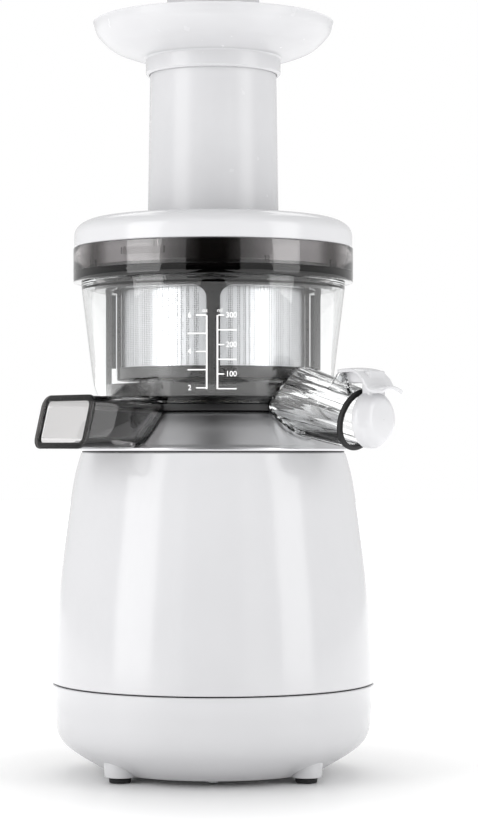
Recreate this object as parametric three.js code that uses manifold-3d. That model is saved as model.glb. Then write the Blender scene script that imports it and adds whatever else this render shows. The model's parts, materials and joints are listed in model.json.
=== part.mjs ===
// Vertical slow juicer: motor base, juicing chamber, lid with feed tube, tray and pusher.
// Units are millimetres and +Z is up. The drive axis is x = y = 0 and the foot pads stand on z = 0.
import * as THREE from 'three';
import { mergeVertices } from 'three/addons/utils/BufferGeometryUtils.js';
import Module from 'manifold-3d';

const wasm = await Module();
wasm.setup();

// ---------- driving dimensions ----------
const GAP = 0.3; // between pieces that touch
const FAR = 900; // past everything, for through holes
const RUN = 0.4; // radial clearance of turning pieces
const WIDE = 32; // facets of the widest round pieces
const ROUND = 24; // facets of a large round piece
const SMALL = 12; // facets of a small round piece
const FINE = 8; // facets of a screw

const body = {
  maxR: 80, // widest radius, near the seam
  maxZ: 52,
  topR: 65.8,
  topZ: 160,
  seamZ: 45.5,
  bottomZ: 3,
  bottomR: 55,
  wall: 2.6,
};
const foot = { x: 45, y: 38, r: 5.5, pad: 2.5, bossR: 8 };
const collar = { topR: 51, rise: 19.5, wall: 2.4, beadZ: 2.2, beadOut: 0.7 };
collar.topZ = body.topZ + collar.rise;

// What stands above the base is stacked: each height is counted from the piece below.
const bowl = { lift: 3.8, floor: 2.4, tall: 60.4, lowR: 57.8, topR: 65.8, wall: 2, neck: 12.3,
  chimney: 20.7 };
bowl.floorZ = collar.topZ + bowl.lift;
bowl.topZ = bowl.floorZ + bowl.tall;
bowl.innerTopZ = bowl.topZ + bowl.neck;
bowl.chimneyTopZ = bowl.floorZ + bowl.chimney;
const shaft = { r: 7.5, flat: 0.9, above: 8 };
shaft.hexR = shaft.r - shaft.flat;
shaft.topZ = bowl.chimneyTopZ + shaft.above;
const baseBand = { r: 52.5, width: 6 };
const rim = { out: 3.9, wall: 2, tall: 17.3, ledge: 3, hooks: 3, hookAngle: 20 };
rim.r = bowl.topR + rim.out;
rim.topZ = bowl.topZ + rim.tall;
const gearM = 2; // module of the gears in the bowl
const brush = { teeth: 48, up: 4.2, face: 6, outerR: 53.4, struts: 4, strutWidth: 6.5, strut: 2.4,
  topRingR: 59, topRing: 3.5 };
brush.gearZ = bowl.floorZ + brush.up;
const strainer = { r: 48, wall: 2, up: 2, over: 4.3, ribs: 4, rib: 5, mesh: 0.8 };
strainer.bottomZ = brush.gearZ + brush.face + strainer.up;
strainer.topZ = bowl.topZ + strainer.over;
const auger = {
  teeth: 24,
  up: 3.1,
  over: 10,
  lowR: 21,
  highR: 14,
  flightR: 42.8,
  starts: 2,
  pinR: 4,
  pinLength: 12,
};
auger.bottomZ = strainer.bottomZ + auger.up;
auger.topZ = strainer.topZ + auger.over;
const idler = { teeth: 12, pinR: 2.5 };
const lid = { inset: 0.4, height: 15.9, shoulder: 7, wall: 2.3, skirtDepth: 10, neckWall: 1.9, neckUp: 8 };
lid.r = rim.r - lid.inset;
const hub = { r: 8, barWidth: 9, barHeight: 5, depth: 13, bushWall: 1.8, capT: 2.4 };
const tube = { r: 32.6, taper: 1.2, length: 77.4, wall: 2.8 };
tube.topR = tube.r - tube.taper;
tube.topZ = rim.topZ + GAP + lid.height - 0.6 + tube.length;
const tray = { r: 60, tall: 20, floor: 2, collar: 2.2, collarDepth: 6.5, wall: 2.2 };
tray.topZ = tube.topZ + tray.tall;
tray.floorZ = tube.topZ + tray.floor;
tray.collarR = tube.topR + tray.collar;
tray.collarZ = tube.topZ - tray.collarDepth;
const pusher = { stemR: 14.5, footH: 6, gripR: 23, gripUp: 19, tall: 45, wall: 2 };
pusher.gripZ = tube.topZ + pusher.gripUp;
pusher.topZ = tube.topZ + pusher.tall;
const spout = {
  yaw: -42,
  slope: 15,
  rootR: 17.5,
  mouthR: 14.5,
  wall: 2,
  axisR: 91.7, // mouth centre, from the drive axis
  under: 7.8, // how far the mouth's centre lies below the bowl's floor
  rootAt: 46,
};
spout.axisZ = bowl.floorZ - spout.under;
const cap = {
  hingeUp: spout.mouthR + 3.25,
  hingeBack: 8.2,
  r: spout.mouthR - 0.7,
  thick: 9,
  drop: 2,
  open: 15,
  barrelR: 3,
  pinR: 1.4,
  width: 12,
  lever: 21,
  leverDrop: 10,
  leverT: 2,
  leverHalf: 9.5,
};
const duct = {
  yaw: 222,
  width: 38,
  lowZ: body.topZ + 2,
  highZ: bowl.floorZ + 3.1,
  reach: 90,
  lean: 6.5, // how much further out the mouth's lower edge stands
  wall: 2,
  corner: 5,
  portR: 45,
};
const gearbox = { m: 1, big: 48, small: 12, drop: 48, plate: 4, face: 7, r: 62, pillarR: 4, angle: 30 };
gearbox.lowZ = body.topZ - gearbox.drop;
const motor = { r: 29, bottomZ: 44, wall: 2.2, shaftR: 4, rotorR: 17.5, statorR: 26.3, fanR: 24 };
const rocker = { z: 95, width: 15.4, length: 22, frame: 4, outward: 3, depth: 12 };
const gland = { z: 27, neckR: 4.6, flangeR: 7.5, cordR: 2.6, out: 2.4 };
const board = { x: -52, width: 44, height: 32, thick: 1.6, z: 60 };
const screw = { headR: 3, r: 1.6, head: 2 };

// ---------- materials ----------
function plastic(color, roughness = 0.35, opacity = 1) {
  const material = new THREE.MeshStandardMaterial({ color, roughness, metalness: 0 });
  material.transparent = opacity < 1;
  material.opacity = opacity;
  return material;
}
function metal(color, roughness = 0.35) {
  return new THREE.MeshStandardMaterial({ color, roughness, metalness: 1 });
}
const white = plastic(0xf4f4f4, 0.2);
const milky = plastic(0xf1f3f5, 0.3, 0.6);
const clear = plastic(0xe8ecee, 0.05, 0.3);
const smoke = plastic(0x6a6462, 0.1, 0.6);
const black = plastic(0x141416, 0.4);
const rubber = plastic(0x1c1c1e, 0.85);
const satin = metal(0xb9bbbd, 0.35);
const steel = metal(0xc8cacc, 0.25);
const nylon = plastic(0xdad7cc, 0.5);
const ultem = plastic(0x2a2624, 0.35);
const boardGreen = plastic(0x1f5a3a, 0.5);

// ---------- geometry helpers ----------
const rad = THREE.MathUtils.degToRad;

function closedMesh(geometry) {
  const bare = geometry.clone();
  bare.deleteAttribute('normal');
  bare.deleteAttribute('uv');
  const merged = mergeVertices(bare, 1e-4);
  const p = merged.attributes.position;
  const all = merged.index.array;
  const tris = [];
  let volume = 0;
  const [a, b, c] = [new THREE.Vector3(), new THREE.Vector3(), new THREE.Vector3()];
  for (let i = 0; i < all.length; i += 3) {
    const [ia, ib, ic] = [all[i], all[i + 1], all[i + 2]];
    if (ia === ib || ib === ic || ia === ic) continue;
    tris.push(ia, ib, ic);
    b.fromBufferAttribute(p, ib).cross(c.fromBufferAttribute(p, ic));
    volume += a.fromBufferAttribute(p, ia).dot(b);
  }
  if (volume < 0) tris.reverse();
  return { vertices: new Float32Array(p.array), tris: new Uint32Array(tris) };
}

function solid(geometry) {
  const { vertices, tris } = closedMesh(geometry);
  return new wasm.Manifold(new wasm.Mesh({ numProp: 3, vertProperties: vertices, triVerts: tris }));
}

function fromSolid(shape) {
  const mesh = shape.getMesh();
  const geometry = new THREE.BufferGeometry();
  geometry.setAttribute('position', new THREE.BufferAttribute(new Float32Array(mesh.vertProperties), 3));
  geometry.setIndex(new THREE.BufferAttribute(new Uint32Array(mesh.triVerts), 1));
  geometry.computeVertexNormals();
  return geometry;
}

function cut(shape, ...tools) {
  return tools.reduce((left, tool) => left.subtract(tool), shape);
}

function join(shape, ...others) {
  return others.reduce((left, other) => left.add(other), shape);
}

// A solid of revolution about +Z. The outline is a list of [radius, height] that ends where it starts or on
// the axis.
function turned(outline, facets = ROUND) {
  const first = outline[0];
  const onAxis = first[0] === 0 && outline[outline.length - 1][0] === 0;
  const closed = onAxis ? outline : [...outline, first];
  const points = closed.map(([r, z]) => new THREE.Vector2(r, z));
  return solid(new THREE.LatheGeometry(points, facets).rotateX(Math.PI / 2));
}

function rod(r, z0, z1, facets = SMALL, x = 0, y = 0) {
  const geometry = new THREE.CylinderGeometry(r, r, z1 - z0, facets).rotateX(Math.PI / 2);
  return solid(geometry.translate(x, y, (z0 + z1) / 2));
}

function ring(inner, outer, z0, z1, facets = ROUND) {
  return turned([[inner, z0], [outer, z0], [outer, z1], [inner, z1]], facets);
}

function block(x0, x1, y0, y1, z0, z1) {
  const geometry = new THREE.BoxGeometry(x1 - x0, y1 - y0, z1 - z0);
  return geometry.translate((x0 + x1) / 2, (y0 + y1) / 2, (z0 + z1) / 2);
}

function turnedTo(geometry, degrees) {
  return geometry.rotateZ(rad(degrees));
}

function prism(shape, z0, z1) {
  const settings = { depth: z1 - z0, bevelEnabled: false, curveSegments: 5 };
  const geometry = new THREE.ExtrudeGeometry(shape, settings);
  return geometry.translate(0, 0, z0);
}

function outlineShape(points) {
  return new THREE.Shape(points.map(([x, y]) => new THREE.Vector2(x, y)));
}

// A ring sector between two radii, centred on an azimuth.
function sector(inner, outer, z0, z1, azimuth, angle) {
  const shape = new THREE.Shape();
  const [a0, a1] = [rad(azimuth - angle / 2), rad(azimuth + angle / 2)];
  shape.absarc(0, 0, outer, a0, a1, false);
  shape.absarc(0, 0, inner, a1, a0, true);
  return solid(prism(shape, z0, z1));
}

// A horizontal drill along an azimuth, from one radius to another.
function drill(r, from, to, z, azimuth, facets = SMALL) {
  const geometry = new THREE.CylinderGeometry(r, r, to - from, facets).rotateZ(Math.PI / 2);
  return solid(turnedTo(geometry.translate((from + to) / 2, 0, z), azimuth));
}

// ---------- gear teeth ----------
const TOOTH = { addendum: 0.9, dedendum: 1.2, slack: 0.08 };

// Straight-flanked teeth on a pitch circle. A positive side points out and a negative side points in.
function toothPoints(teeth, m, phase, side) {
  const pitch = (teeth * m) / 2;
  const step = (2 * Math.PI) / teeth;
  const half = ((Math.PI * m) / 4 - TOOTH.slack * m) / pitch;
  const lean = 0.34 * m / pitch;
  const tip = pitch + side * TOOTH.addendum * m;
  const root = pitch - side * TOOTH.dedendum * m;
  const points = [];
  for (let i = 0; i < teeth; i += 1) {
    const at = phase + i * step;
    const [wide, thin] = [half + lean * 1.1, half - lean];
    const corners = [[root, -wide], [tip, -thin], [tip, thin], [root, wide]];
    for (const [r, a] of corners) points.push([r * Math.cos(at + a), r * Math.sin(at + a)]);
  }
  return points;
}

function spurGear(teeth, m, phase, z0, z1) {
  return prism(outlineShape(toothPoints(teeth, m, phase, 1)), z0, z1);
}

// ---------- motor base ----------
function bodySide(out = 0) {
  const [grow, fall] = [body.maxR - body.topR, body.topZ - body.maxZ];
  const [tuck, rise] = [body.maxR - body.bottomR, body.maxZ - body.bottomZ];
  const curve = new THREE.SplineCurve([
    new THREE.Vector2(body.topR, body.topZ),
    new THREE.Vector2(body.topR + 0.25 * grow, body.topZ - 0.13 * fall),
    new THREE.Vector2(body.topR + 0.5 * (body.maxR - body.topR), body.topZ - 0.36 * (body.topZ - body.maxZ)),
    new THREE.Vector2(body.topR + 0.86 * (body.maxR - body.topR), body.topZ - 0.71 * (body.topZ - body.maxZ)),
    new THREE.Vector2(body.maxR, body.maxZ),
    new THREE.Vector2(body.maxR - 0.03 * tuck, body.bottomZ + 0.62 * rise),
    new THREE.Vector2(body.maxR - 0.2 * tuck, body.bottomZ + 0.28 * rise),
    new THREE.Vector2(body.bottomR, body.bottomZ),
  ]);
  return curve.getPoints(13).map((p) => [p.x + out, p.y]);
}

function sideRadius(z) {
  const side = bodySide();
  const i = side.findIndex(([, height]) => height <= z);
  if (i <= 0) return side[0][0];
  const [[r1, z1], [r0, z0]] = [side[i - 1], side[i]];
  return r0 + ((r1 - r0) * (z - z0)) / (z1 - z0);
}

function envelope(out) {
  const rim = [[0, body.topZ + 1], [body.topR + out, body.topZ + 1]];
  return turned([...rim, ...bodySide(out), [0, body.bottomZ]], WIDE);
}

function sideBetween(z0, z1, out) {
  const inside = bodySide(out).filter(([, z]) => z < z1 && z > z0);
  return [[sideRadius(z1) + out, z1], ...inside, [sideRadius(z0) + out, z0]];
}

// Rear face at the switch height, as the plane that the bezel lies on.
function leanAt(z) {
  return Math.atan2(sideRadius(z - 10) - sideRadius(z + 10), 20);
}

function rearBlock(width, length, from, to) {
  const geometry = block(-width / 2, width / 2, from, to, -length / 2, length / 2);
  return geometry.rotateX(leanAt(rocker.z)).translate(0, sideRadius(rocker.z), rocker.z);
}

function bodyShell() {
  const flangeR = body.topR - 8;
  const top = body.topZ - GAP;
  const outer = sideBetween(body.seamZ + GAP, top, 0);
  const inner = sideBetween(body.seamZ + GAP, top - body.wall, -body.wall).reverse();
  const shell = turned([...outer, ...inner, [flangeR, top - body.wall], [flangeR, top]], WIDE);
  const more = rocker.frame + 1;
  const opening = solid(rearBlock(rocker.width + more, rocker.length + more, -15, 15));
  return cut(shell, opening);
}

function bottomCover() {
  const outer = sideBetween(body.bottomZ, body.seamZ, 0);
  const inner = sideBetween(body.bottomZ + body.wall, body.seamZ, -body.wall).reverse();
  let cover = turned([...outer, [0, body.bottomZ], [0, body.bottomZ + body.wall], ...inner], WIDE);
  const cavity = turned([...inner, [0, body.seamZ], [0, body.bottomZ + body.wall]].reverse(), WIDE);
  for (const [x, y] of footPlaces()) {
    const boss = rod(foot.bossR, foot.pad + GAP, body.bottomZ + 6, SMALL, x, y);
    cover = cover.add(boss.subtract(cavity));
  }
  for (const [x, y] of screwPlaces()) cover = cover.subtract(rod(screw.r + GAP, 0, 20, FINE, x, y));
  for (let i = -3; i <= 3; i += 1) {
    cover = cover.subtract(solid(block(-16, 16, i * 7 - 1.5, i * 7 + 1.5, 0, 10)));
  }
  return cut(cover, drill(gland.neckR + GAP, 60, 90, gland.z, 90));
}

function footPlaces() {
  return [[-foot.x, -foot.y], [foot.x, -foot.y], [-foot.x, foot.y], [foot.x, foot.y]];
}

function screwPlaces() {
  return [[0, -40], [40, 0], [0, 40], [-40, 0]];
}

function coverScrew([x, y]) {
  const head = rod(screw.headR, body.bottomZ - GAP - screw.head, body.bottomZ - GAP, FINE, x, y);
  return head.add(rod(screw.r, body.bottomZ - GAP - 0.1, body.bottomZ + 12, FINE, x, y));
}

function seatCollar() {
  const [low, high] = [body.topZ + GAP, collar.topZ];
  const w = collar.wall;
  return turned([
    [body.topR - w, low],
    [body.topR, low],
    [body.topR + collar.beadOut, low + collar.beadZ / 2],
    [body.topR - 1.6, low + collar.beadZ + 0.8],
    [collar.topR, high],
    [shaft.r + 0.7, high],
    [shaft.r + 0.7, high - w],
    [collar.topR - w * 0.8, high - w],
    [body.topR - w - 1.6, low + collar.beadZ + 0.8],
  ]);
}

// The collar's cone as a solid, grown outwards, that the spout and the duct sit over.
function coneBlank(out) {
  const slope = (body.topR - collar.topR) / (collar.topZ - body.topZ);
  const rise = 8;
  return turned([
    [0, body.topZ - 20],
    [body.topR + collar.beadOut + out, body.topZ - 20],
    [body.topR + collar.beadOut + out, body.topZ + 0.5],
    [collar.topR + out - slope * rise, collar.topZ + rise + 0.5],
    [0, collar.topZ + rise + 0.5],
  ]);
}

// ---------- gear train and motor ----------
const centreGap = (gearbox.m * (gearbox.big + gearbox.small)) / 2;
const compoundAt = [centreGap, 0];
const motorAngle = rad(180 - gearbox.angle);
const motorAt = [centreGap + centreGap * Math.cos(motorAngle), centreGap * Math.sin(motorAngle)];
const lowGearZ = gearbox.lowZ + gearbox.plate + 4;
const highGearZ = lowGearZ + gearbox.face + 5;
const highPlateZ = highGearZ + gearbox.face + 4;

function gearboxFrame() {
  let frame = rod(gearbox.r, gearbox.lowZ, gearbox.lowZ + gearbox.plate, ROUND);
  for (const [x, y] of pillarPlaces()) {
    frame = frame.add(rod(gearbox.pillarR, gearbox.lowZ + 1, highPlateZ - GAP, FINE, x, y));
    frame = frame.subtract(rod(screw.r + GAP, highPlateZ - 14, highPlateZ, FINE, x, y));
  }
  const axle = rod(3, gearbox.lowZ + 1, highPlateZ - GAP, SMALL, ...compoundAt);
  const motorHole = rod(motor.shaftR + 1, 0, FAR, SMALL, ...motorAt);
  return cut(frame, motorHole).add(axle);
}

function pillarPlaces() {
  const r = gearbox.r - gearbox.pillarR - 4;
  return [95, 180, 265].map((a) => [r * Math.cos(rad(a)), r * Math.sin(rad(a))]);
}

function gearboxPlate() {
  const plate = rod(gearbox.r, highPlateZ, highPlateZ + gearbox.plate, ROUND);
  const wallTop = body.topZ - GAP - body.wall - GAP;
  const wall = ring(gearbox.r - 3, gearbox.r, highPlateZ + 1, wallTop);
  const seat = ring(16, 19, highPlateZ + 1, highPlateZ + gearbox.plate + 7, SMALL);
  let made = join(plate, wall, seat).subtract(rod(shaft.r + 1, 0, FAR));
  for (const [x, y] of pillarPlaces()) made = made.subtract(rod(screw.r + GAP, highPlateZ - 1, FAR,
    FINE, x, y));
  return made;
}

function plateScrew([x, y]) {
  const z = highPlateZ + gearbox.plate + GAP;
  return rod(screw.headR, z, z + screw.head, FINE, x, y).add(rod(screw.r, z - 12, z + 0.1, FINE, x, y));
}

function driveShaft() {
  const low = rod(shaft.r, highGearZ - 4, bowl.floorZ - 2);
  const hex = rod(shaft.hexR, bowl.floorZ - 3, shaft.topZ, 6);
  return low.add(hex);
}

function outputGear() {
  const gear = spurGear(gearbox.big, gearbox.m, 0, highGearZ, highGearZ + gearbox.face);
  return solid(gear).subtract(rod(shaft.r + GAP, 0, FAR));
}

function compoundGear() {
  const big = solid(spurGear(gearbox.big, gearbox.m, 0, lowGearZ, lowGearZ + gearbox.face));
  const half = Math.PI / gearbox.small;
  const small = solid(spurGear(gearbox.small, gearbox.m, half, lowGearZ + 1, highGearZ + gearbox.face + 1));
  const bore = rod(3 + RUN, 0, FAR);
  const at = new THREE.Matrix4().makeTranslation(...compoundAt, 0);
  return fromSolid(big.add(small).subtract(bore)).applyMatrix4(at);
}

function motorPinion() {
  // A tooth gap faces the big gear's tooth at the line of centres.
  const facing = motorAngle + Math.PI;
  const bigTooth = (2 * Math.PI) / gearbox.big;
  const offset = Math.round(motorAngle / bigTooth) * bigTooth - motorAngle;
  const phase = facing + Math.PI / gearbox.small - (offset * gearbox.big) / gearbox.small;
  const geometry = spurGear(gearbox.small, gearbox.m, phase, lowGearZ - 1, lowGearZ + gearbox.face + 1);
  return geometry.translate(...motorAt, 0);
}

const motorTop = gearbox.lowZ - GAP;

function atMotor(geometry) {
  return geometry.translate(...motorAt, 0);
}

function motorCan() {
  const w = motor.wall;
  const can = turned([
    [motor.shaftR + 1, motorTop],
    [motor.shaftR + 1, motorTop - w],
    [motor.r - w, motorTop - w],
    [motor.r - w, motor.bottomZ],
    [motor.r, motor.bottomZ],
    [motor.r, motorTop],
  ]);
  return atMotor(fromSolid(can));
}

function motorEndCap() {
  const z = motor.bottomZ - GAP;
  return atMotor(fromSolid(ring(motor.shaftR + 1, motor.r, z - 3, z)));
}

function stator() {
  return atMotor(fromSolid(ring(motor.rotorR + 1, motor.statorR, motor.bottomZ + 8, motorTop - 10)));
}

function motorShaft() {
  const rodSolid = rod(motor.shaftR, motor.bottomZ - 20, lowGearZ + 1);
  return join(solid(atMotor(fromSolid(rodSolid))), solid(motorPinion()));
}

function rotorCore() {
  const core = ring(motor.shaftR + GAP, motor.rotorR, motor.bottomZ + 8, motorTop - 10, SMALL * 1.5);
  return atMotor(fromSolid(core));
}

function motorFan() {
  const z = motor.bottomZ - 6;
  let fan = ring(motor.shaftR + GAP, 8, z - 8, z, SMALL);
  fan = fan.add(ring(6, motor.fanR, z - 1.5, z, SMALL * 1.5));
  for (let i = 0; i < 9; i += 1) {
    fan = fan.add(solid(turnedTo(block(7, motor.fanR - 0.5, -0.7, 0.7, z - 8, z - 1), i * 40)));
  }
  return atMotor(fromSolid(fan));
}

// ---------- switch, gland, board ----------
function switchBezel() {
  const [w, l] = [rocker.width + rocker.frame, rocker.length + rocker.frame];
  const flange = solid(rearBlock(w + 6, l + 6, -6, 2)).subtract(envelope(GAP));
  const neck = solid(rearBlock(w, l, -rocker.depth, 1.9));
  const window = solid(rearBlock(rocker.width + 1.2, rocker.length + 1.4, -30, SMALL));
  return flange.add(neck).subtract(window);
}

function rockerSwitch() {
  const [h, o] = [rocker.length / 2, rocker.outward];
  const shape = outlineShape([[o, -h * 0.94], [o * 0.4, 0], [o, h * 0.94], [-6, h * 0.6], [-6, -h * 0.6]]);
  const geometry = prism(shape, -rocker.width / 2, rocker.width / 2);
  // The outline's x points out of the body and its y runs up the body.
  const basis = new THREE.Matrix4().makeBasis(
    new THREE.Vector3(0, 1, 0),
    new THREE.Vector3(0, 0, 1),
    new THREE.Vector3(1, 0, 0),
  );
  geometry.applyMatrix4(basis);
  return geometry.rotateX(leanAt(rocker.z)).translate(0, sideRadius(rocker.z), rocker.z);
}

function cordGland() {
  const r = sideRadius(gland.z);
  const flange = drill(gland.flangeR, r - 6, r + gland.out, gland.z, 90).subtract(envelope(GAP));
  const neck = drill(gland.neckR, r - 14, r + gland.out, gland.z, 90);
  return cut(join(flange, neck), drill(gland.cordR, 50, 99, gland.z, 90));
}

// ---------- bowl ----------
function bowlSide(out) {
  const { lowR, topR, floorZ, topZ } = bowl;
  return [
    [baseBand.r + 1 + out, floorZ],
    [lowR + out, floorZ + 5],
    [lowR + 2.7 + out, floorZ + 16.7],
    [lowR + 4.2 + out, floorZ + 29],
    [lowR + 7.2 + out, floorZ + 53],
    [topR + out, topZ - 2],
    [topR + out, topZ],
  ];
}

const skirtR = rim.r - rim.wall - 1.6; // inner face of the rim, less the hooks

function bowlBlank(out) {
  return turned([[0, bowl.floorZ], ...bowlSide(out), [0, bowl.topZ]]);
}

function makeBowl() {
  const w = bowl.wall;
  const collarR = skirtR - 3.6;
  const neck = [[collarR, bowl.topZ], [collarR, bowl.innerTopZ], [collarR - w, bowl.innerTopZ]];
  const outer = [...bowlSide(0), ...neck];
  const inner = bowlSide(-w).slice(1, 6).reverse();
  inner[0] = [collarR - w, bowl.topZ - 2];
  const floorTop = bowl.floorZ + bowl.floor;
  const chimneyR = shaft.r + 2.2;
  const shell = turned([
    [shaft.r + 0.5, bowl.floorZ],
    ...outer,
    ...inner,
    [baseBand.r, floorTop],
    [chimneyR, floorTop],
    [chimneyR, bowl.chimneyTopZ],
    [shaft.r + 0.5, bowl.chimneyTopZ],
  ]);
  const port = spoutTool(spout.rootR - spout.wall, spout.mouthR - spout.wall, 6).subtract(floorBlank());
  return cut(shell, port, pulpHole());
}

// The hole in the bowl's floor that the pulp drops through, between the chimney and the wall.
function pulpHole() {
  const outer = baseBand.r - 2;
  const angle = THREE.MathUtils.radToDeg((duct.width - 2 * duct.wall - 3) / outer);
  return sector(duct.portR, outer, collar.topZ, bowl.floorZ + bowl.floor + 1, duct.yaw, angle);
}

// The space that the spout's port leaves alone: the bowl's floor and what stands inside its gear ring.
function floorBlank() {
  return rod(brush.outerR - 2, bowl.floorZ - 5, bowl.topZ, ROUND).add(
    rod(80, bowl.floorZ - 30, bowl.floorZ + bowl.floor, ROUND),
  );
}

function spoutFrame(geometry) {
  geometry.rotateY(rad(spout.slope)).translate(spout.axisR, 0, spout.axisZ);
  return turnedTo(geometry, spout.yaw);
}

// A tapered plug along the spout, from its root (and some more) to its mouth (and some more).
function spoutTool(rootR, mouthR, more) {
  const length = spout.axisR - spout.rootAt;
  const slope = (rootR - mouthR) / length;
  const [thin, wide] = [mouthR - slope * more, rootR + slope * more];
  const geometry = new THREE.CylinderGeometry(thin, wide, length + 2 * more, SMALL * 1.5);
  return solid(spoutFrame(geometry.rotateZ(-Math.PI / 2).translate(-length / 2, 0, 0)));
}

function juiceSpout() {
  const outer = cut(spoutTool(spout.rootR, spout.mouthR, 0), coneBlank(0.6), bowlBlank(GAP), underBowl());
  const bore = spoutTool(spout.rootR - spout.wall, spout.mouthR - spout.wall, 6);
  const inner = cut(bore, coneBlank(0.6 + spout.wall));
  const ears = [-1, 1].map((side) => solid(spoutFrame(hingeEar(side))));
  const pin = solid(spoutFrame(alongHinge(cap.pinR + 0.2, 40)));
  const room = solid(spoutFrame(alongHinge(cap.barrelR + 0.6, cap.width + 0.6)));
  return cut(join(outer, ...ears), inner, pin, room);
}

// What the duct and the spout leave free under the bowl.
function underBowl(r = baseBand.r + 1) {
  return rod(r + GAP, body.topZ, bowl.floorZ + 0.1, ROUND);
}

function hingeEar(side) {
  const [y0, y1] = [cap.width / 2 + 0.4, cap.width / 2 + 2.8];
  const [x, z, r] = [-cap.hingeBack, cap.hingeUp, cap.barrelR];
  const shape = outlineShape([[x - 6, spout.mouthR - 4], [-1, spout.mouthR - 4], [x + r * 0.7, z + r * 0.6],
    [x + r * 0.3, z + r * 0.9], [x - r * 0.3, z + r * 0.9], [x - r * 0.9, z + r * 0.2]]);
  const geometry = prism(shape, y0, y1).rotateX(Math.PI / 2);
  return side > 0 ? geometry : geometry.translate(0, y0 + y1, 0);
}

function alongHinge(r, length, facets = 16) {
  const geometry = new THREE.CylinderGeometry(r, r, length, facets);
  return geometry.translate(-cap.hingeBack, 0, cap.hingeUp);
}

function spoutGasket() {
  const lip = (r, length) => new THREE.CylinderGeometry(r, r, length, SMALL * 1.5).rotateZ(-Math.PI / 2);
  const geometry = lip(spout.mouthR + 0.4, 2);
  const hole = lip(spout.mouthR - spout.wall, 9);
  const shift = 1 + GAP;
  const made = solid(spoutFrame(geometry.translate(shift, 0, 0)));
  return made.subtract(solid(spoutFrame(hole.translate(shift, 0, 0))));
}

// The cap is drawn closed over the mouth and then swung open about its pin.
function swung(geometry) {
  geometry.translate(cap.hingeBack, 0, -cap.hingeUp).rotateY(rad(-cap.open));
  return spoutFrame(geometry.translate(-cap.hingeBack, 0, cap.hingeUp));
}

const capFace = 2 + 2 * GAP; // distance from the mouth to the closed cap

function spoutCap() {
  const disc = new THREE.CylinderGeometry(cap.r * 0.82, cap.r, cap.thick, SMALL * 1.5).rotateZ(-Math.PI / 2);
  const cup = solid(swung(disc.translate(capFace + cap.thick / 2, 0, -cap.drop)));
  const hollow = new THREE.CylinderGeometry(cap.r * 0.6, cap.r * 0.8, cap.thick - 2.4, SMALL * 1.5);
  hollow.rotateZ(-Math.PI / 2);
  const inside = solid(swung(hollow.translate(capFace + cap.thick / 2 - 1.3, 0, -cap.drop)));
  const half = cap.width / 2;
  const arm = solid(swung(block(capFace, capFace + 4.4, -half, half, cap.r - 5, cap.hingeUp)));
  const top = cap.hingeUp + cap.barrelR + 0.5;
  const link = solid(swung(block(-cap.hingeBack, capFace + 4.4, -half, half, cap.hingeUp - 1, top + 1)));
  const barrel = solid(swung(alongHinge(cap.barrelR, cap.width)));
  const lever = solid(swung(leverPlate(top)));
  const bore = solid(swung(alongHinge(cap.pinR + 0.4, 60)));
  return cut(join(cup.subtract(inside), arm, link, barrel, lever), bore);
}

// The thumb lever: flat over the hinge, then down over the cup, with a flared tip.
function leverPlate(top) {
  const x = -cap.hingeBack;
  const { lever: run, leverDrop: drop, leverT: t, leverHalf: half } = cap;
  const [flat, slope] = [x + run * 0.42, x + run * 0.76];
  const upper = [[x - 1, top + t], [flat, top + t], [slope, top + t - drop], [x + run, top + t - drop]];
  const under = [[x + run, top - drop], [slope - 1, top - drop], [flat - 1, top], [x - 1, top]];
  return prism(outlineShape([...upper, ...under]), -half, half).rotateX(Math.PI / 2);
}

function capSeal() {
  const r = spout.mouthR - spout.wall - 0.8;
  const plug = new THREE.CylinderGeometry(r * 0.62, r * 0.62, 5.5, SMALL).rotateZ(-Math.PI / 2);
  const flat = new THREE.CylinderGeometry(r * 0.8, r * 0.8, 1.6, SMALL).rotateZ(-Math.PI / 2);
  const seal = solid(swung(flat.translate(capFace - 1.6, 0, 0)));
  return seal.add(solid(swung(plug.translate(capFace + 1.4, 0, 0))));
}

function roundedRect(width, height, r) {
  const [w, h] = [width / 2, height / 2];
  const shape = new THREE.Shape();
  shape.absarc(w - r, h - r, r, 0, Math.PI / 2, false);
  shape.absarc(-w + r, h - r, r, Math.PI / 2, Math.PI, false);
  shape.absarc(-w + r, -h + r, r, Math.PI, 1.5 * Math.PI, false);
  shape.absarc(w - r, -h + r, r, 1.5 * Math.PI, 2 * Math.PI, false);
  return shape;
}

// The duct's outside, or its inside with a negative growth. Its mouth leans back at the top.
function ductBlank(grow, more) {
  const height = duct.highZ - duct.lowZ;
  const middle = (duct.highZ + duct.lowZ) / 2;
  const shape = roundedRect(duct.width + 2 * grow, height + 2 * grow, duct.corner + grow);
  const [from, to] = [duct.portR - 8, duct.reach + duct.lean];
  const settings = { depth: to + more - from, bevelEnabled: false, curveSegments: 5 };
  const geometry = new THREE.ExtrudeGeometry(shape, settings);
  // The section lies across the duct, its x along the row's y and its y up.
  const basis = new THREE.Matrix4().makeBasis(
    new THREE.Vector3(0, 1, 0),
    new THREE.Vector3(0, 0, 1),
    new THREE.Vector3(1, 0, 0),
  );
  geometry.applyMatrix4(basis).translate(from, 0, middle);
  let made = solid(turnedTo(geometry, duct.yaw));
  if (more === 0) {
    const lean = (z) => duct.reach + (duct.lean * (duct.highZ - z)) / height;
    const [z0, z1] = [duct.lowZ - 20, duct.highZ + 20];
    const far = duct.reach + 60;
    const beyond = outlineShape([[lean(z0), z0], [far, z0], [far, z1], [lean(z1), z1]]);
    const cutter = prism(beyond, -duct.width, duct.width).rotateX(Math.PI / 2);
    made = made.subtract(solid(turnedTo(cutter, duct.yaw)));
  }
  return made;
}

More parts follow.
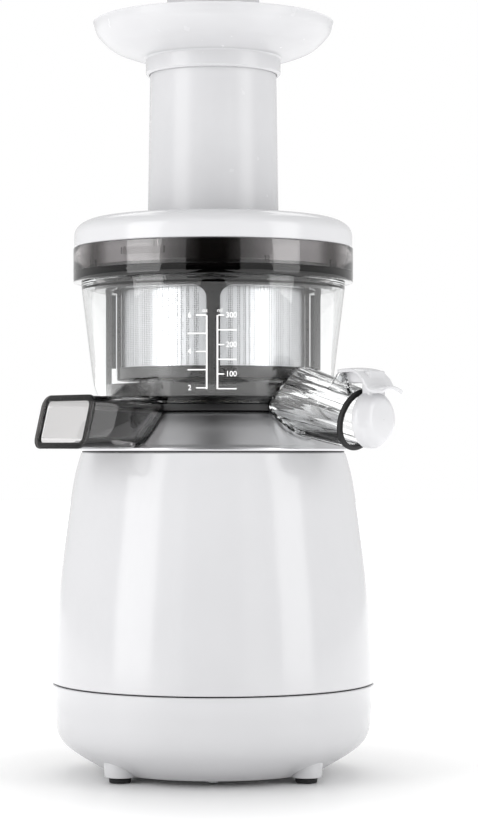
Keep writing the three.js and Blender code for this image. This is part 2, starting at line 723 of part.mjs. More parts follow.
function pulpDuct() {
  const outer = cut(ductBlank(0, 0), coneBlank(0.6), bowlBlank(GAP), underBowl(duct.portR - duct.wall));
  const inner = cut(ductBlank(-duct.wall, 10), coneBlank(0.6 + duct.wall), underBowl(duct.portR));
  const hole = pulpHole().intersect(rod(duct.reach, collar.topZ + duct.wall, bowl.topZ, ROUND));
  return cut(outer, inner, hole);
}

function bowlBaseBand() {
  const inner = baseBand.r - baseBand.width;
  const angle = THREE.MathUtils.radToDeg((duct.width + 3) / inner);
  const gap = sector(inner - 3, baseBand.r + 3, body.topZ, bowl.floorZ, duct.yaw, angle);
  return ring(inner, baseBand.r, collar.topZ + GAP, bowl.floorZ - GAP).subtract(gap);
}

// A soft plate lying on the duct's sloping floor, under the pulp hole.
function ductGasket() {
  const lift = 0.6 + duct.wall + GAP;
  const half = duct.width / 2 - duct.wall - 2;
  const [low, high] = [duct.lowZ + duct.wall + 1.5, collar.topZ - 1];
  const area = turnedTo(block(46, 72, -half, half, low, high), duct.yaw);
  return cut(solid(area).intersect(coneBlank(lift + 1.8)), coneBlank(lift));
}

function bowlSeal() {
  const low = bowl.floorZ + bowl.floor + GAP;
  return ring(shaft.r + 2.2 + GAP, shaft.r + 5, low, low + 1.4);
}

function rimRing() {
  const [low, high] = [bowl.topZ + GAP, rim.topZ];
  const inner = rim.r - rim.wall;
  const ledgeR = skirtR - 3.3;
  const ledge = [[inner, low + rim.ledge], [ledgeR, low + rim.ledge]];
  let made = turned([[ledgeR, low], [rim.r, low], [rim.r, high], [inner, high], ...ledge], WIDE);
  for (let i = 0; i < rim.hooks; i += 1) {
    const azimuth = (i * 360) / rim.hooks;
    made = made.add(sector(inner - 1.1, inner + 0.5, high - 6.5, high - 3.5, azimuth, rim.hookAngle));
  }
  return made;
}

// ---------- inside the bowl ----------
const idlerAt = (gearM * (auger.teeth + idler.teeth)) / 2;

function augerGear() {
  const gear = spurGear(auger.teeth, gearM, 0, brush.gearZ, brush.gearZ + brush.face);
  return solid(gear).subtract(rod(shaft.r + 3, 0, FAR));
}

function idlerGear() {
  const phase = Math.PI / idler.teeth;
  const gear = spurGear(idler.teeth, gearM, phase, brush.gearZ, brush.gearZ + brush.face);
  gear.translate(idlerAt, 0, 0);
  return solid(gear).subtract(rod(idler.pinR + RUN, 0, FAR, SMALL, idlerAt, 0));
}

function idlerPin() {
  const low = bowl.floorZ + bowl.floor + GAP;
  const post = rod(idler.pinR, low, strainer.bottomZ - GAP, SMALL, idlerAt, 0);
  return post.add(rod(idler.pinR + 2, low, brush.gearZ - RUN, SMALL, idlerAt, 0));
}

function brushCage() {
  const [low, high] = [brush.gearZ, brush.gearZ + brush.face];
  const outer = rod(brush.outerR, low, high, WIDE);
  const hole = solid(prism(outlineShape(toothPoints(brush.teeth, gearM, 0, -1)), low - 1, high + 1));
  const topZ = bowl.topZ - 0.5;
  let cage = outer.subtract(hole);
  const inner = brush.outerR - brush.strut;
  cage = cage.add(ring(inner, brush.topRingR, topZ - brush.topRing, topZ, WIDE));
  for (let i = 0; i < brush.struts; i += 1) {
    const half = brush.strutWidth / 2;
    const strut = block(inner + 0.1, brush.outerR, -half, half, low + 1, topZ - 1);
    cage = cage.add(solid(turnedTo(strut, strutAt(i))));
  }
  return cage;
}

function strutAt(i) {
  return -90 + (360 * i) / brush.struts;
}

function wiper(i) {
  const [low, high] = [strainer.bottomZ + 6, strainer.topZ - 10];
  const blade = block(strainer.r + 0.6, brush.outerR - brush.strut - GAP, -0.9, 0.9, low, high);
  return turnedTo(blade, strutAt(i));
}

function makeAuger() {
  const steps = 26;
  const height = auger.topZ - auger.bottomZ;
  const settings = { depth: height, steps, bevelEnabled: false, curveSegments: 2 };
  const geometry = new THREE.ExtrudeGeometry(augerSection(), settings);
  const p = geometry.attributes.position;
  for (let i = 0; i < p.count; i += 1) {
    const up = p.getZ(i) / height;
    const turn = -2 * Math.PI * up;
    const r = Math.hypot(p.getX(i), p.getY(i));
    const core = auger.lowR + (auger.highR - auger.lowR) * up;
    const reach = (r - auger.highR) / (auger.flightR - auger.highR);
    const wide = core + Math.max(0, reach) * (auger.flightR - core);
    const angle = Math.atan2(p.getY(i), p.getX(i)) + turn;
    p.setXYZ(i, wide * Math.cos(angle), wide * Math.sin(angle), p.getZ(i) + auger.bottomZ);
  }
  const socketZ = shaft.topZ + 1;
  const pin = rod(auger.pinR, auger.topZ - 1, auger.topZ + auger.pinLength);
  const neckZ = brush.gearZ + brush.face + GAP;
  const neck = rod(auger.lowR - 1, neckZ, auger.bottomZ + 1, ROUND);
  const cavity = rod(shaft.r + 3, neckZ - 1, bowl.chimneyTopZ + 1);
  const hex = rod(shaft.hexR + 0.5, bowl.chimneyTopZ, socketZ, 6);
  return cut(join(solid(geometry), pin, neck), cavity, hex);
}

function augerSection() {
  const shape = new THREE.Shape();
  const lobe = 20;
  for (let i = 0; i < auger.starts; i += 1) {
    const at = (i * 360) / auger.starts;
    shape.absarc(0, 0, auger.flightR, rad(at - lobe / 2), rad(at + lobe / 2), false);
    shape.absarc(0, 0, auger.highR, rad(at + lobe * 0.8), rad(at + 360 / auger.starts - lobe * 0.8), false);
  }
  return shape;
}

function strainerFrame() {
  const { r, wall, bottomZ, topZ, rib, ribs } = strainer;
  const shell = turned([
    [shaft.r + 6, bottomZ],
    [r, bottomZ],
    [r, topZ],
    [r - wall, topZ],
    [r - wall, bottomZ + 2],
    [shaft.r + 6, bottomZ + 2],
  ]);
  let made = shell.subtract(rod(auger.lowR + 2, bottomZ - 2, bottomZ + 3, ROUND));
  const angle = 360 / ribs - THREE.MathUtils.radToDeg(rib / r);
  for (let i = 0; i < ribs; i += 1) {
    made = made.subtract(sector(r - 6, r + 6, bottomZ + 6, topZ - 5, ((i + 0.5) * 360) / ribs, angle));
  }
  for (const azimuth of [90, 180, 270]) {
    const leg = block(33, 37, -2.5, 2.5, bowl.floorZ + bowl.floor + GAP, bottomZ + 1);
    made = made.add(solid(turnedTo(leg, azimuth)));
  }
  return made;
}

function strainerMesh() {
  const outer = strainer.r - strainer.wall - GAP;
  return ring(outer - strainer.mesh, outer, strainer.bottomZ + 2 + GAP, strainer.topZ - 1);
}

function shaftSeal() {
  return ring(shaft.r + 0.6, shaft.r + 6, collar.topZ + GAP, bowl.floorZ - GAP - 0.4, SMALL);
}

function driveBearing() {
  const low = highPlateZ + gearbox.plate;
  return ring(shaft.r + RUN, 15.7, low + GAP, low + 7, SMALL);
}

function controlBoard() {
  const half = board.width / 2;
  return solid(block(board.x, board.x + board.thick, -half, half, board.z, board.z + board.height));
}

// ---------- lid, feed tube, tray and pusher ----------
const lidZ = rim.topZ + GAP;
const neckR = tube.r - tube.wall - GAP;

function makeLid() {
  const top = lidZ + lid.height - 0.6;
  const s = lid.shoulder;
  const shoulder = new THREE.EllipseCurve(lid.r - s * 1.5, top - s - 1.5, s * 1.5, s, 0, Math.PI / 2);
  const outer = shoulder.getPoints(5).map((p) => [p.x, p.y]);
  const inner = outer.map(([r, z]) => [r - lid.wall, z - lid.wall * 0.8]).reverse();
  const skirtOut = rim.r - rim.wall - 1.6;
  const low = lidZ - lid.skirtDepth;
  const w = lid.wall;
  let made = turned([
    [lid.r, lidZ],
    ...outer,
    [neckR, top],
    [neckR, top + lid.neckUp],
    [neckR - lid.neckWall, top + lid.neckUp],
    [neckR - lid.neckWall, top - w],
    ...inner,
    [skirtOut - w + 0.4, lidZ + 2],
    [skirtOut - w + 0.4, low],
    [skirtOut, low],
    [skirtOut, lidZ],
  ], WIDE);
  for (let i = 0; i < rim.hooks; i += 1) {
    const azimuth = (i * 360) / rim.hooks + rim.hookAngle + 3;
    made = made.add(sector(skirtOut - 0.5, rim.r - rim.wall - 0.4, low, low + 2.6, azimuth, rim.hookAngle));
  }
  const [across, half] = [neckR - 0.5, hub.barWidth / 2];
  const bar = solid(block(-across, across, -half, half, top - hub.barHeight, top));
  const boss = rod(hub.r, top - hub.depth, top);
  const socket = rod(auger.pinR + hub.bushWall + GAP, top - hub.depth - 1, top - hub.capT);
  return join(made, bar, boss).subtract(socket);
}

const lidTop = lidZ + lid.height - 0.6;

function augerBush() {
  const r = auger.pinR + hub.bushWall;
  return ring(auger.pinR + RUN, r, auger.topZ + GAP, lidTop - hub.capT - GAP, SMALL);
}

function feedTube() {
  const low = lidTop + GAP - 1.8;
  const outer = [[tube.r, low + 1.8], [tube.topR, tube.topZ]];
  return turned([[tube.r - tube.wall, low + 1.8], ...outer, [tube.topR - tube.wall + 0.6, tube.topZ]], WIDE);
}

function feedTray() {
  const t = tray;
  const curve = new THREE.QuadraticBezierCurve(
    new THREE.Vector2(t.collarR + 4, t.floorZ),
    new THREE.Vector2(t.r - 3.5, t.floorZ + 4.5),
    new THREE.Vector2(t.r, t.topZ),
  );
  const outer = curve.getPoints(6).map((p) => [p.x, p.y]);
  const inner = outer.map(([r, z]) => [r - t.wall * 0.9, Math.min(z + t.wall, t.topZ)]).reverse();
  inner[0] = [t.r - t.wall, t.topZ];
  const bore = tube.topR - tube.wall;
  return turned([
    [tube.topR + GAP + 0.2, t.collarZ],
    [t.collarR - 1, t.collarZ],
    [t.collarR, t.collarZ + 1.2],
    [t.collarR, t.floorZ - 0.5],
    ...outer,
    ...inner.slice(0, -1),
    [t.collarR + 2, t.floorZ + t.wall],
    [bore, t.floorZ + t.wall],
    [bore, tube.topZ + GAP],
    [tube.topR + GAP + 0.2, tube.topZ + GAP],
  ], WIDE);
}

function makePusher() {
  const footZ = lidTop + lid.neckUp + GAP;
  const footR = tube.topR - tube.wall - 0.7;
  const { stemR, footH, gripR, gripZ, topZ, wall } = pusher;
  return turned([
    [0, footZ],
    [footR, footZ],
    [footR, footZ + footH],
    [stemR, footZ + footH + 2],
    [stemR, gripZ - 3],
    [gripR - 1.5, gripZ],
    [gripR, gripZ + 2],
    [gripR, topZ - 4],
    [gripR - 3, topZ],
    [stemR - wall, topZ],
    [stemR - wall, footZ + wall],
    [0, footZ + wall],
  ]);
}

// ---------- assembly ----------
const juicer = new THREE.Group();

function add(name, shape, material) {
  const geometry = shape.isBufferGeometry ? fromSolid(solid(shape)) : fromSolid(shape);
  const mesh = new THREE.Mesh(geometry, material);
  mesh.name = name;
  juicer.add(mesh);
}

add('body_shell', bodyShell(), white);
add('bottom_cover', bottomCover(), white);
footPlaces().forEach(([x, y], i) => add(`foot_pad_${i + 1}`, rod(foot.r, 0, foot.pad, SMALL, x, y), rubber));
screwPlaces().forEach((place, i) => add(`cover_screw_${i + 1}`, coverScrew(place), steel));
add('seat_collar', seatCollar(), satin);
add('shaft_seal', shaftSeal(), rubber);
add('drive_bearing', driveBearing(), steel);
add('gearbox_frame', gearboxFrame(), black);
add('gearbox_plate', gearboxPlate(), black);
pillarPlaces().forEach((place, i) => add(`gearbox_screw_${i + 1}`, plateScrew(place), steel));
add('motor_can', motorCan(), steel);
add('motor_end_cap', motorEndCap(), black);
add('stator', stator(), steel);
add('control_board', controlBoard(), boardGreen);
add('switch_bezel', switchBezel(), black);
add('cord_gland', cordGland(), black);

add('drive_shaft', driveShaft(), steel);
add('output_gear', outputGear(), nylon);
add('compound_gear', compoundGear(), nylon);
add('motor_shaft', motorShaft(), steel);
add('rotor_core', rotorCore(), steel);
add('motor_fan', motorFan(), black);
add('rocker_switch', rockerSwitch(), black);

add('bowl', makeBowl(), clear);
add('bowl_base_band', bowlBaseBand(), black);
add('bowl_seal', bowlSeal(), rubber);
add('rim_ring', rimRing(), smoke);
add('juice_spout', juiceSpout(), clear);
add('spout_gasket', spoutGasket(), rubber);
add('spout_pin', solid(spoutFrame(alongHinge(cap.pinR, cap.width + 6))), steel);
add('pulp_duct', pulpDuct(), smoke);
add('duct_gasket', ductGasket(), rubber);
add('idler_pin', idlerPin(), steel);
add('strainer_frame', strainerFrame(), ultem);
add('strainer_mesh', strainerMesh(), steel);
add('spout_cap', spoutCap(), white);
add('cap_seal', capSeal(), milky);

add('auger', makeAuger(), black);
add('auger_gear', augerGear(), nylon);
add('idler_gear', idlerGear(), nylon);
add('brush_cage', brushCage(), ultem);
for (let i = 0; i < brush.struts; i += 1) add(`wiper_blade_${i + 1}`, wiper(i), rubber);

add('lid', makeLid(), white);
add('auger_bush', augerBush(), nylon);
add('feed_tube', feedTube(), milky);
add('feed_tray', feedTray(), milky);
add('pusher', makePusher(), milky);

export default juicer;
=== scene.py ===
"""Vertical slow juicer: fine pieces, real finishes, studio and camera around the fixed frame."""

import json
import math

import bmesh
import bpy
from mathutils import Matrix, Vector


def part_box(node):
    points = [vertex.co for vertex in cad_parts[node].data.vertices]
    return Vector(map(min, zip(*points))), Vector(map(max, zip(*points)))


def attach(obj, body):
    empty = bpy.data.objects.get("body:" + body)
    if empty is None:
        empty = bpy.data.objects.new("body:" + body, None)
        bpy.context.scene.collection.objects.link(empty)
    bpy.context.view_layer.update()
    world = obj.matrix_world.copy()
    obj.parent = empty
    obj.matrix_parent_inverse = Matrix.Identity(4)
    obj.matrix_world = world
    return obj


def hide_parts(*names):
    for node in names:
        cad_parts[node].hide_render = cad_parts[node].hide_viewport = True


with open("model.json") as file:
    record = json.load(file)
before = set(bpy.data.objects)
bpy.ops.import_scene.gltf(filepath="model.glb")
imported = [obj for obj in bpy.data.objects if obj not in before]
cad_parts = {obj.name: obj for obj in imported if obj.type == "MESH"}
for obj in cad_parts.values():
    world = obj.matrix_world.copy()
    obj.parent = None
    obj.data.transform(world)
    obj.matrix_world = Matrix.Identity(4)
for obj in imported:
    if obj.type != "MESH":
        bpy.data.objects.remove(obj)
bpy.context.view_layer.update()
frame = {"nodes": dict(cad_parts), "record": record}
MM = 0.001  # metres in a millimetre; sizes below are in millimetres unless they say otherwise
AROUND = 144  # steps round a large turned piece


# ---------- sizes read from the frame ----------
def low(node):
    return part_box(node)[0] / MM


def high(node):
    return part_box(node)[1] / MM


def radius(node):
    """The outer radius of a round piece on the drive axis."""
    return high(node).x


BODY_R = radius("body_shell")
SEAM_Z = low("body_shell").z
BODY_TOP_Z = high("body_shell").z
COLLAR_TOP_Z = high("seat_collar").z
BOWL_LOW_Z = low("bowl").z
RING_LOW_Z = low("rim_ring").z
RING_TOP_Z = high("rim_ring").z
RING_R = radius("rim_ring")
LID_LOW_Z = RING_TOP_Z + 0.3
TUBE_LOW_Z = low("feed_tube").z
TUBE_TOP_Z = high("feed_tube").z
TUBE_R = radius("feed_tube")
TRAY_R = radius("feed_tray")
TRAY_TOP_Z = high("feed_tray").z
BRUSH_TOP_Z = high("brush_cage").z
BRUSH_LOW_Z = low("brush_cage").z

# ---------- sizes that only the maker's drawing holds ----------
BODY_TOP_R = 65.8
BODY_WIDEST_Z = 52.0
BODY_BOTTOM = (55.0, 3.0)
COLLAR_TOP_R = 51.0
BAND_R = 52.5
BOWL_WALL = 2.0
TUBE_TOP_R = 31.4
TUBE_WALL = 2.8
SPOUT = {
    "yaw": -42.0,
    "slope": 15.0,
    "root_r": 17.5,
    "mouth_r": 14.5,
    "wall": 2.0,
    "at": 91.7,
    "z": 175.5,
    "root": 46.0,
}
CAP = {
    "up": 17.75,
    "back": 8.2,
    "r": 13.8,
    "thick": 8.0,
    "drop": 2.0,
    "open": 15.0,
    "width": 12.0,
    "face": 2.6,
}
DUCT = {
    "yaw": 222.0,
    "width": 38.0,
    "low": 162.0,
    "high": 186.4,
    "reach": 90.0,
    "lean": 6.5,
    "wall": 2.0,
    "corner": 5.0,
}
NECK_UP = 8.0
FLIGHT_R = radius("auger")
BRUSH_STRUTS = 4


# ---------- materials ----------
def srgb(code):
    """A hex colour as linear red, green, blue and alpha."""
    parts = [int(code[i:i + 2], 16) / 255 for i in (1, 3, 5)]
    linear = [c / 12.92 if c <= 0.04045 else ((c + 0.055) / 1.055) ** 2.4 for c in parts]
    return (*linear, 1.0)


def put(tree, kind, settings=None, **inputs):
    """Adds a node; an input is a value or another node's output socket."""
    made = tree.nodes.new(kind)
    for key, value in (settings or {}).items():
        setattr(made, key, value)
    for key, value in inputs.items():
        socket = made.inputs[key.replace("_", " ")]
        if isinstance(value, bpy.types.NodeSocket):
            tree.links.new(value, socket)
        else:
            socket.default_value = value
    return made


def blank(name):
    material = bpy.data.materials.new(name)
    material.use_nodes = True
    material.node_tree.nodes.clear()
    return material, material.node_tree


def finish(tree, shader, volume=None):
    out = put(tree, "ShaderNodeOutputMaterial")
    tree.links.new(shader.outputs[0], out.inputs["Surface"])
    if volume:
        tree.links.new(volume.outputs[0], out.inputs["Volume"])


def place(tree, stretch=(1, 1, 1)):
    """Object coordinates in metres, stretched along an axis where a pattern is drawn out."""
    coords = put(tree, "ShaderNodeTexCoord")
    return put(tree, "ShaderNodeMapping", Vector=coords.outputs["Object"], Scale=stretch).outputs[0]


def grain(tree, size_mm, detail=2.0, stretch=(1, 1, 1)):
    """Soft noise whose blotches are about size_mm wide."""
    at = place(tree, stretch)
    noise = put(tree, "ShaderNodeTexNoise", Vector=at, Scale=1000.0 / size_mm, Detail=detail)
    return noise.outputs["Fac"]


def spread(tree, value, low_value, high_value):
    ranged = put(tree, "ShaderNodeMapRange", Value=value, To_Min=low_value, To_Max=high_value)
    return ranged.outputs["Result"]


def tones(tree, value, dark, light):
    """Two hex colours mixed by a pattern."""
    mixed = put(tree, "ShaderNodeMix", {"data_type": "RGBA"})
    tree.links.new(value, mixed.inputs[0])
    mixed.inputs[6].default_value = srgb(dark)
    mixed.inputs[7].default_value = srgb(light)
    return mixed.outputs[2]


def bumps(tree, height, depth_mm, strength=1.0):
    bump = put(tree, "ShaderNodeBump", Height=height, Distance=depth_mm * MM, Strength=strength)
    return bump.outputs[0]


def gloss_abs(name, dark, light, roughness):
    """Injection-moulded ABS, polished tool: a clean gloss with a very slight orange peel."""
    material, tree = blank(name)
    shader = put(
        tree,
        "ShaderNodeBsdfPrincipled",
        Base_Color=tones(tree, grain(tree, 40.0), dark, light),
        Roughness=spread(tree, grain(tree, 9.0), roughness * 0.85, roughness * 1.15),
        Normal=bumps(tree, grain(tree, 3.0, 1.0), 0.004),
        IOR=1.5,
    )
    finish(tree, shader)
    return material


def clear_moulding(name, dark, light, roughness, per_metre=0.0, tint="#ffffff", ior=1.5):
    """Moulded clear copolyester or smoked polycarbonate: sharp highlights and faint flow ripples.

    The body of the plastic takes up light along its path, so a wall seen face on stays
    light and a wall seen along its edge goes dark.
    """
    material, tree = blank(name)
    shader = put(
        tree,
        "ShaderNodeBsdfPrincipled",
        Base_Color=tones(tree, grain(tree, 30.0), dark, light),
        Roughness=spread(tree, grain(tree, 12.0), roughness * 0.7, roughness * 1.3),
        Normal=bumps(tree, grain(tree, 14.0, 1.0), 0.006),
        Transmission_Weight=1.0,
        IOR=ior,
    )
    volume = None
    if per_metre:
        volume = put(tree, "ShaderNodeVolumeAbsorption", Color=srgb(tint), Density=per_metre)
    finish(tree, shader, volume)
    return material


def shade_painted_moulding(name, dark, light, edge, roughness, per_metre, tint):
    """Smoked plastic with painted shade graded across x: darkest at the middle of the front and the back,
    with a painted darker band near each side.
    """
    material, tree = blank(name)
    parts = put(tree, "ShaderNodeSeparateXYZ", Vector=place(tree))
    side = put(tree, "ShaderNodeMath", {"operation": "ABSOLUTE"})
    tree.links.new(parts.outputs["X"], side.inputs[0])
    share = put(tree, "ShaderNodeMapRange", Value=side.outputs[0], From_Min=0.0, From_Max=0.07)
    # Painted shade: this ramp darkens the middle of the front and back and lays a darker band near each side;
    # the plastic itself is one tint.
    ramp = put(tree, "ShaderNodeValToRGB", Fac=share.outputs["Result"])
    steps = ramp.color_ramp.elements
    steps[0].position, steps[0].color = 0.08, srgb(dark)
    steps[1].position, steps[1].color = 0.45, srgb(light)
    for at, colour in ((0.72, light), (0.83, edge), (0.93, light)):
        step = steps.new(at)
        step.color = srgb(colour)
    shader = put(
        tree,
        "ShaderNodeBsdfPrincipled",
        Base_Color=ramp.outputs["Color"],
        Roughness=spread(tree, grain(tree, 12.0), roughness * 0.7, roughness * 1.3),
        Normal=bumps(tree, grain(tree, 14.0, 1.0), 0.006),
        Transmission_Weight=1.0,
        IOR=1.58,
    )
    volume = put(tree, "ShaderNodeVolumeAbsorption", Color=srgb(tint), Density=per_metre)
    finish(tree, shader, volume)
    return material


def milky_moulding(name):
    """Natural polypropylene: pale and cloudy, so what stands behind a wall shows only faintly."""
    material, tree = blank(name)
    shader = put(
        tree,
        "ShaderNodeBsdfPrincipled",
        Base_Color=tones(tree, grain(tree, 25.0), "#cbcbcd", "#d2d2d4"),
        Roughness=spread(tree, grain(tree, 6.0), 0.2, 0.3),
        Normal=bumps(tree, grain(tree, 4.0, 1.0), 0.006),
        Alpha=0.86,
        IOR=1.49,
    )
    finish(tree, shader)
    return material


def moulded(name, dark, light, roughness, grain_mm=0.8, depth=0.015):
    """Moulded technical plastic or rubber with a fine spark-eroded grain, drawn coarse enough to show."""
    material, tree = blank(name)
    pattern = grain(tree, grain_mm, 3.0)
    shader = put(
        tree,
        "ShaderNodeBsdfPrincipled",
        Base_Color=tones(tree, grain(tree, 15.0), dark, light),
        Roughness=spread(tree, pattern, roughness * 0.85, min(1.0, roughness * 1.15)),
        Normal=bumps(tree, pattern, depth),
        IOR=1.48,
    )
    finish(tree, shader)
    return material


def turned_metal(name, dark, light, roughness, line_mm=0.5):
    """Metal finished on a lathe: fine rings round the axis, which stretch the highlights."""
    material, tree = blank(name)
    lines = grain(tree, line_mm, 2.0, (0.06, 0.06, 1.0))
    shader = put(
        tree,
        "ShaderNodeBsdfPrincipled",
        Base_Color=tones(tree, grain(tree, 20.0), dark, light),
        Roughness=spread(tree, lines, roughness * 0.85, roughness * 1.2),
        Normal=bumps(tree, lines, 0.006),
        Metallic=1.0,
    )
    finish(tree, shader)
    return material


def sieve_steel(name):
    """Etched stainless sieve: rows of small dark holes in bright sheet, coarser than the real 0.3 mm."""
    material, tree = blank(name)
    cells = put(tree, "ShaderNodeTexVoronoi", Vector=place(tree), Scale=1000.0 / 0.9, Randomness=0.15)
    holes = put(tree, "ShaderNodeMapRange", Value=cells.outputs["Distance"], From_Min=0.25, From_Max=0.4)
    shader = put(
        tree,
        "ShaderNodeBsdfPrincipled",
        Base_Color=tones(tree, holes.outputs["Result"], "#77777a", "#d6d7d9"),
        Roughness=spread(tree, holes.outputs["Result"], 0.6, 0.28),
        Normal=bumps(tree, holes.outputs["Result"], 0.1),
        Metallic=1.0,
    )
    finish(tree, shader)
    return material


WHITE_ABS = gloss_abs("white gloss ABS", "#cacacc", "#cfcfd1", 0.16)
CLEAR = clear_moulding("clear copolyester", "#fafbfb", "#ffffff", 0.015, 14.0, "#8f9696")
# The smoked ring's finish carries painted shade, darkest at the middle of the front and back.
SMOKE_RING = shade_painted_moulding(
    "smoked polycarbonate, painted dark middle", "#4a4644", "#fbf9f9", "#8a8482", 0.03, 190.0, "#6b6160"
)
SMOKE_FLANGE = clear_moulding("smoked polycarbonate, thick", "#a49c9a", "#b0a8a6", 0.03, 1100.0, "#5b5251")
SMOKE_DUCT = clear_moulding("smoked polycarbonate, light", "#f6f5f5", "#fdfcfc", 0.015, 170.0, "#4a4240")
SMOKE_LIP = clear_moulding("smoked polycarbonate, lip", "#d8d4d2", "#e4e0de", 0.03, 1400.0, "#4a4240")
MILKY = milky_moulding("natural polypropylene")
BLACK_ABS = moulded("black ABS", "#0c0c0d", "#151516", 0.35)
DARK_RESIN = moulded("smoked black polyetherimide", "#141110", "#1d1918", 0.22, 2.0, 0.004)
SILICONE = moulded("black silicone", "#0e0e0f", "#181819", 0.6)
FOOT_RUBBER = moulded("grey-black rubber", "#1a1a1b", "#242425", 0.8, 0.5, 0.03)
SATIN = turned_metal("satin aluminium", "#c6c6c8", "#d0d0d2", 0.3)
STEEL = turned_metal("machined steel", "#a9abad", "#bcbec0", 0.25)
SIEVE = sieve_steel("etched sieve steel")
NYLON = moulded("natural nylon", "#d8d4c6", "#e4e0d4", 0.45, 1.2)
BOARD = moulded("coated circuit board", "#174a2f", "#1f5c3b", 0.4, 2.0)
PRINT = moulded("white pad-printed ink", "#f2f2f2", "#fbfbfb", 0.5, 0.6, 0.004)
FINISH = {
    "white_plastic": WHITE_ABS,
    "milky_plastic": MILKY,
    "clear_plastic": CLEAR,
    "smoke_plastic": SMOKE_RING,
    "black_plastic": BLACK_ABS,
    "dark_resin": DARK_RESIN,
    "black_rubber": SILICONE,
    "satin_metal": SATIN,
    "steel": STEEL,
    "nylon": NYLON,
    "circuit_board": BOARD,
}


def finish_frame_nodes():
    """Every node that stays takes the finish of its slot."""
    slots = {part["node"]: part["material_slot"] for part in frame["record"]["subparts"]}
    for name, node in frame["nodes"].items():
        node.data.materials.clear()
        node.data.materials.append(FINISH[slots[name]])
    for name in [n for n in frame["nodes"] if n.startswith("foot_pad")]:
        frame["nodes"][name].data.materials[0] = FOOT_RUBBER
    frame["nodes"]["strainer_mesh"].data.materials[0] = SIEVE


# ---------- mesh tools ----------
def shade(mesh, sharp_angle=32.0):
    """Smooth faces, with the edges steeper than the angle kept sharp."""
    work = bmesh.new()
    work.from_mesh(mesh)
    bmesh.ops.recalc_face_normals(work, faces=work.faces)
    for face in work.faces:
        face.smooth = True
    for edge in work.edges:
        edge.smooth = len(edge.link_faces) == 2 and edge.calc_face_angle(0.0) < math.radians(sharp_angle)
    work.to_mesh(mesh)
    work.free()


def new_object(name, verts, faces):
    """A mesh object from points in millimetres."""
    mesh = bpy.data.meshes.new(name)
    mesh.from_pydata([Vector(v) * MM for v in verts], [], faces)
    mesh.validate()
    obj = bpy.data.objects.new(name, mesh)
    bpy.context.scene.collection.objects.link(obj)
    return obj


def seat(obj, body, slot, material, *nodes, sharp=32.0):
    """Finishes a piece: smooth shading, its finish, the body it rides on and the nodes it stands for."""
    shade(obj.data, sharp)
    obj.data.materials.clear()
    obj.data.materials.append(material)
    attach(obj, body)
    if nodes:
        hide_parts(*nodes)
    return obj


def rounded(points, size, steps=4):
    """A closed outline with each corner turned by a small curve; a third value is that corner's own size."""
    made = []
    count = len(points)
    for i, point in enumerate(points):
        corner = Vector(point[:2])
        before = Vector(points[i - 1][:2]) - corner
        after = Vector(points[(i + 1) % count][:2]) - corner
        wanted = point[2] if len(point) > 2 else size
        reach = min(wanted, before.length * 0.45, after.length * 0.45)
        if reach < 0.02:
            made.append(tuple(corner))
            continue
        start = corner + before.normalized() * reach
        end = corner + after.normalized() * reach
        for k in range(steps + 1):
            t = k / steps
            made.append(tuple(start * (1 - t) ** 2 + corner * 2 * t * (1 - t) + end * t ** 2))
    return made


def lathe(name, outline, around=AROUND):
    """A closed outline of (radius, height) turned about the drive axis; points on the axis become poles."""
    verts, rings = [], []
    for r, z in outline:
        if r < 1e-6:
            rings.append([len(verts)] * around)
            verts.append((0, 0, z))
        else:
            rings.append(list(range(len(verts), len(verts) + around)))
            verts += [(r * math.cos(a), r * math.sin(a), z) for a in turns(around)]
    faces = []
    for i, ring in enumerate(rings):
        other = rings[(i + 1) % len(rings)]
        for k in range(around):
            n = (k + 1) % around
            corner = [ring[k], ring[n], other[n], other[k]]
            face = list(dict.fromkeys(corner))
            if len(face) > 2:
                faces.append(face)
    return new_object(name, verts, faces)


def turns(count):
    return [2 * math.pi * i / count for i in range(count)]


def prism(name, outline, start, end):
    """An (x, y) outline pulled from one height to another."""
    count = len(outline)
    verts = [(x, y, start) for x, y in outline] + [(x, y, end) for x, y in outline]
    faces = [list(range(count))[::-1], list(range(count, 2 * count))]
    faces += [[i, (i + 1) % count, count + (i + 1) % count, count + i] for i in range(count)]
    return new_object(name, verts, faces)


def side_prism(name, outline, half):
    """An (x, z) outline pulled across, from -half to half along y."""
    obj = prism(name, outline, -half, half)
    return moved(obj, Matrix.Rotation(math.radians(90), 4, "X"))


def slab(name, x0, x1, y0, y1, z0, z1):
    return prism(name, [(x0, y0), (x1, y0), (x1, y1), (x0, y1)], z0, z1)


def moved(obj, matrix):
    obj.data.transform(matrix)
    return obj


def shift(x, y, z):
    return Matrix.Translation(Vector((x, y, z)) * MM)


def turn(degrees, axis="Z"):
    return Matrix.Rotation(math.radians(degrees), 4, axis)


def carve(obj, *tools, how="DIFFERENCE"):
    """Cuts, joins or intersects with other solids, applied to the mesh."""
    for tool in tools:
        shade(obj.data)
        shade(tool.data)
        change = obj.modifiers.new("cut", "BOOLEAN")
        change.operation = how
        change.solver = "EXACT"
        change.object = tool
        bpy.context.view_layer.update()
        result = bpy.data.meshes.new_from_object(obj.evaluated_get(bpy.context.evaluated_depsgraph_get()))
        obj.modifiers.clear()
        old = obj.data
        obj.data = result
        bpy.data.meshes.remove(old)
        bpy.data.objects.remove(tool)
    return obj


def bevelled(obj, width, segments=3, angle=35.0):
    """Rounds every edge steeper than the angle."""
    change = obj.modifiers.new("bevel", "BEVEL")
    change.width = width * MM
    change.segments = segments
    change.limit_method = "ANGLE"
    change.angle_limit = math.radians(angle)
    change.harden_normals = False
    bpy.context.view_layer.update()
    result = bpy.data.meshes.new_from_object(obj.evaluated_get(bpy.context.evaluated_depsgraph_get()))
    obj.modifiers.clear()
    obj.data = result
    return obj


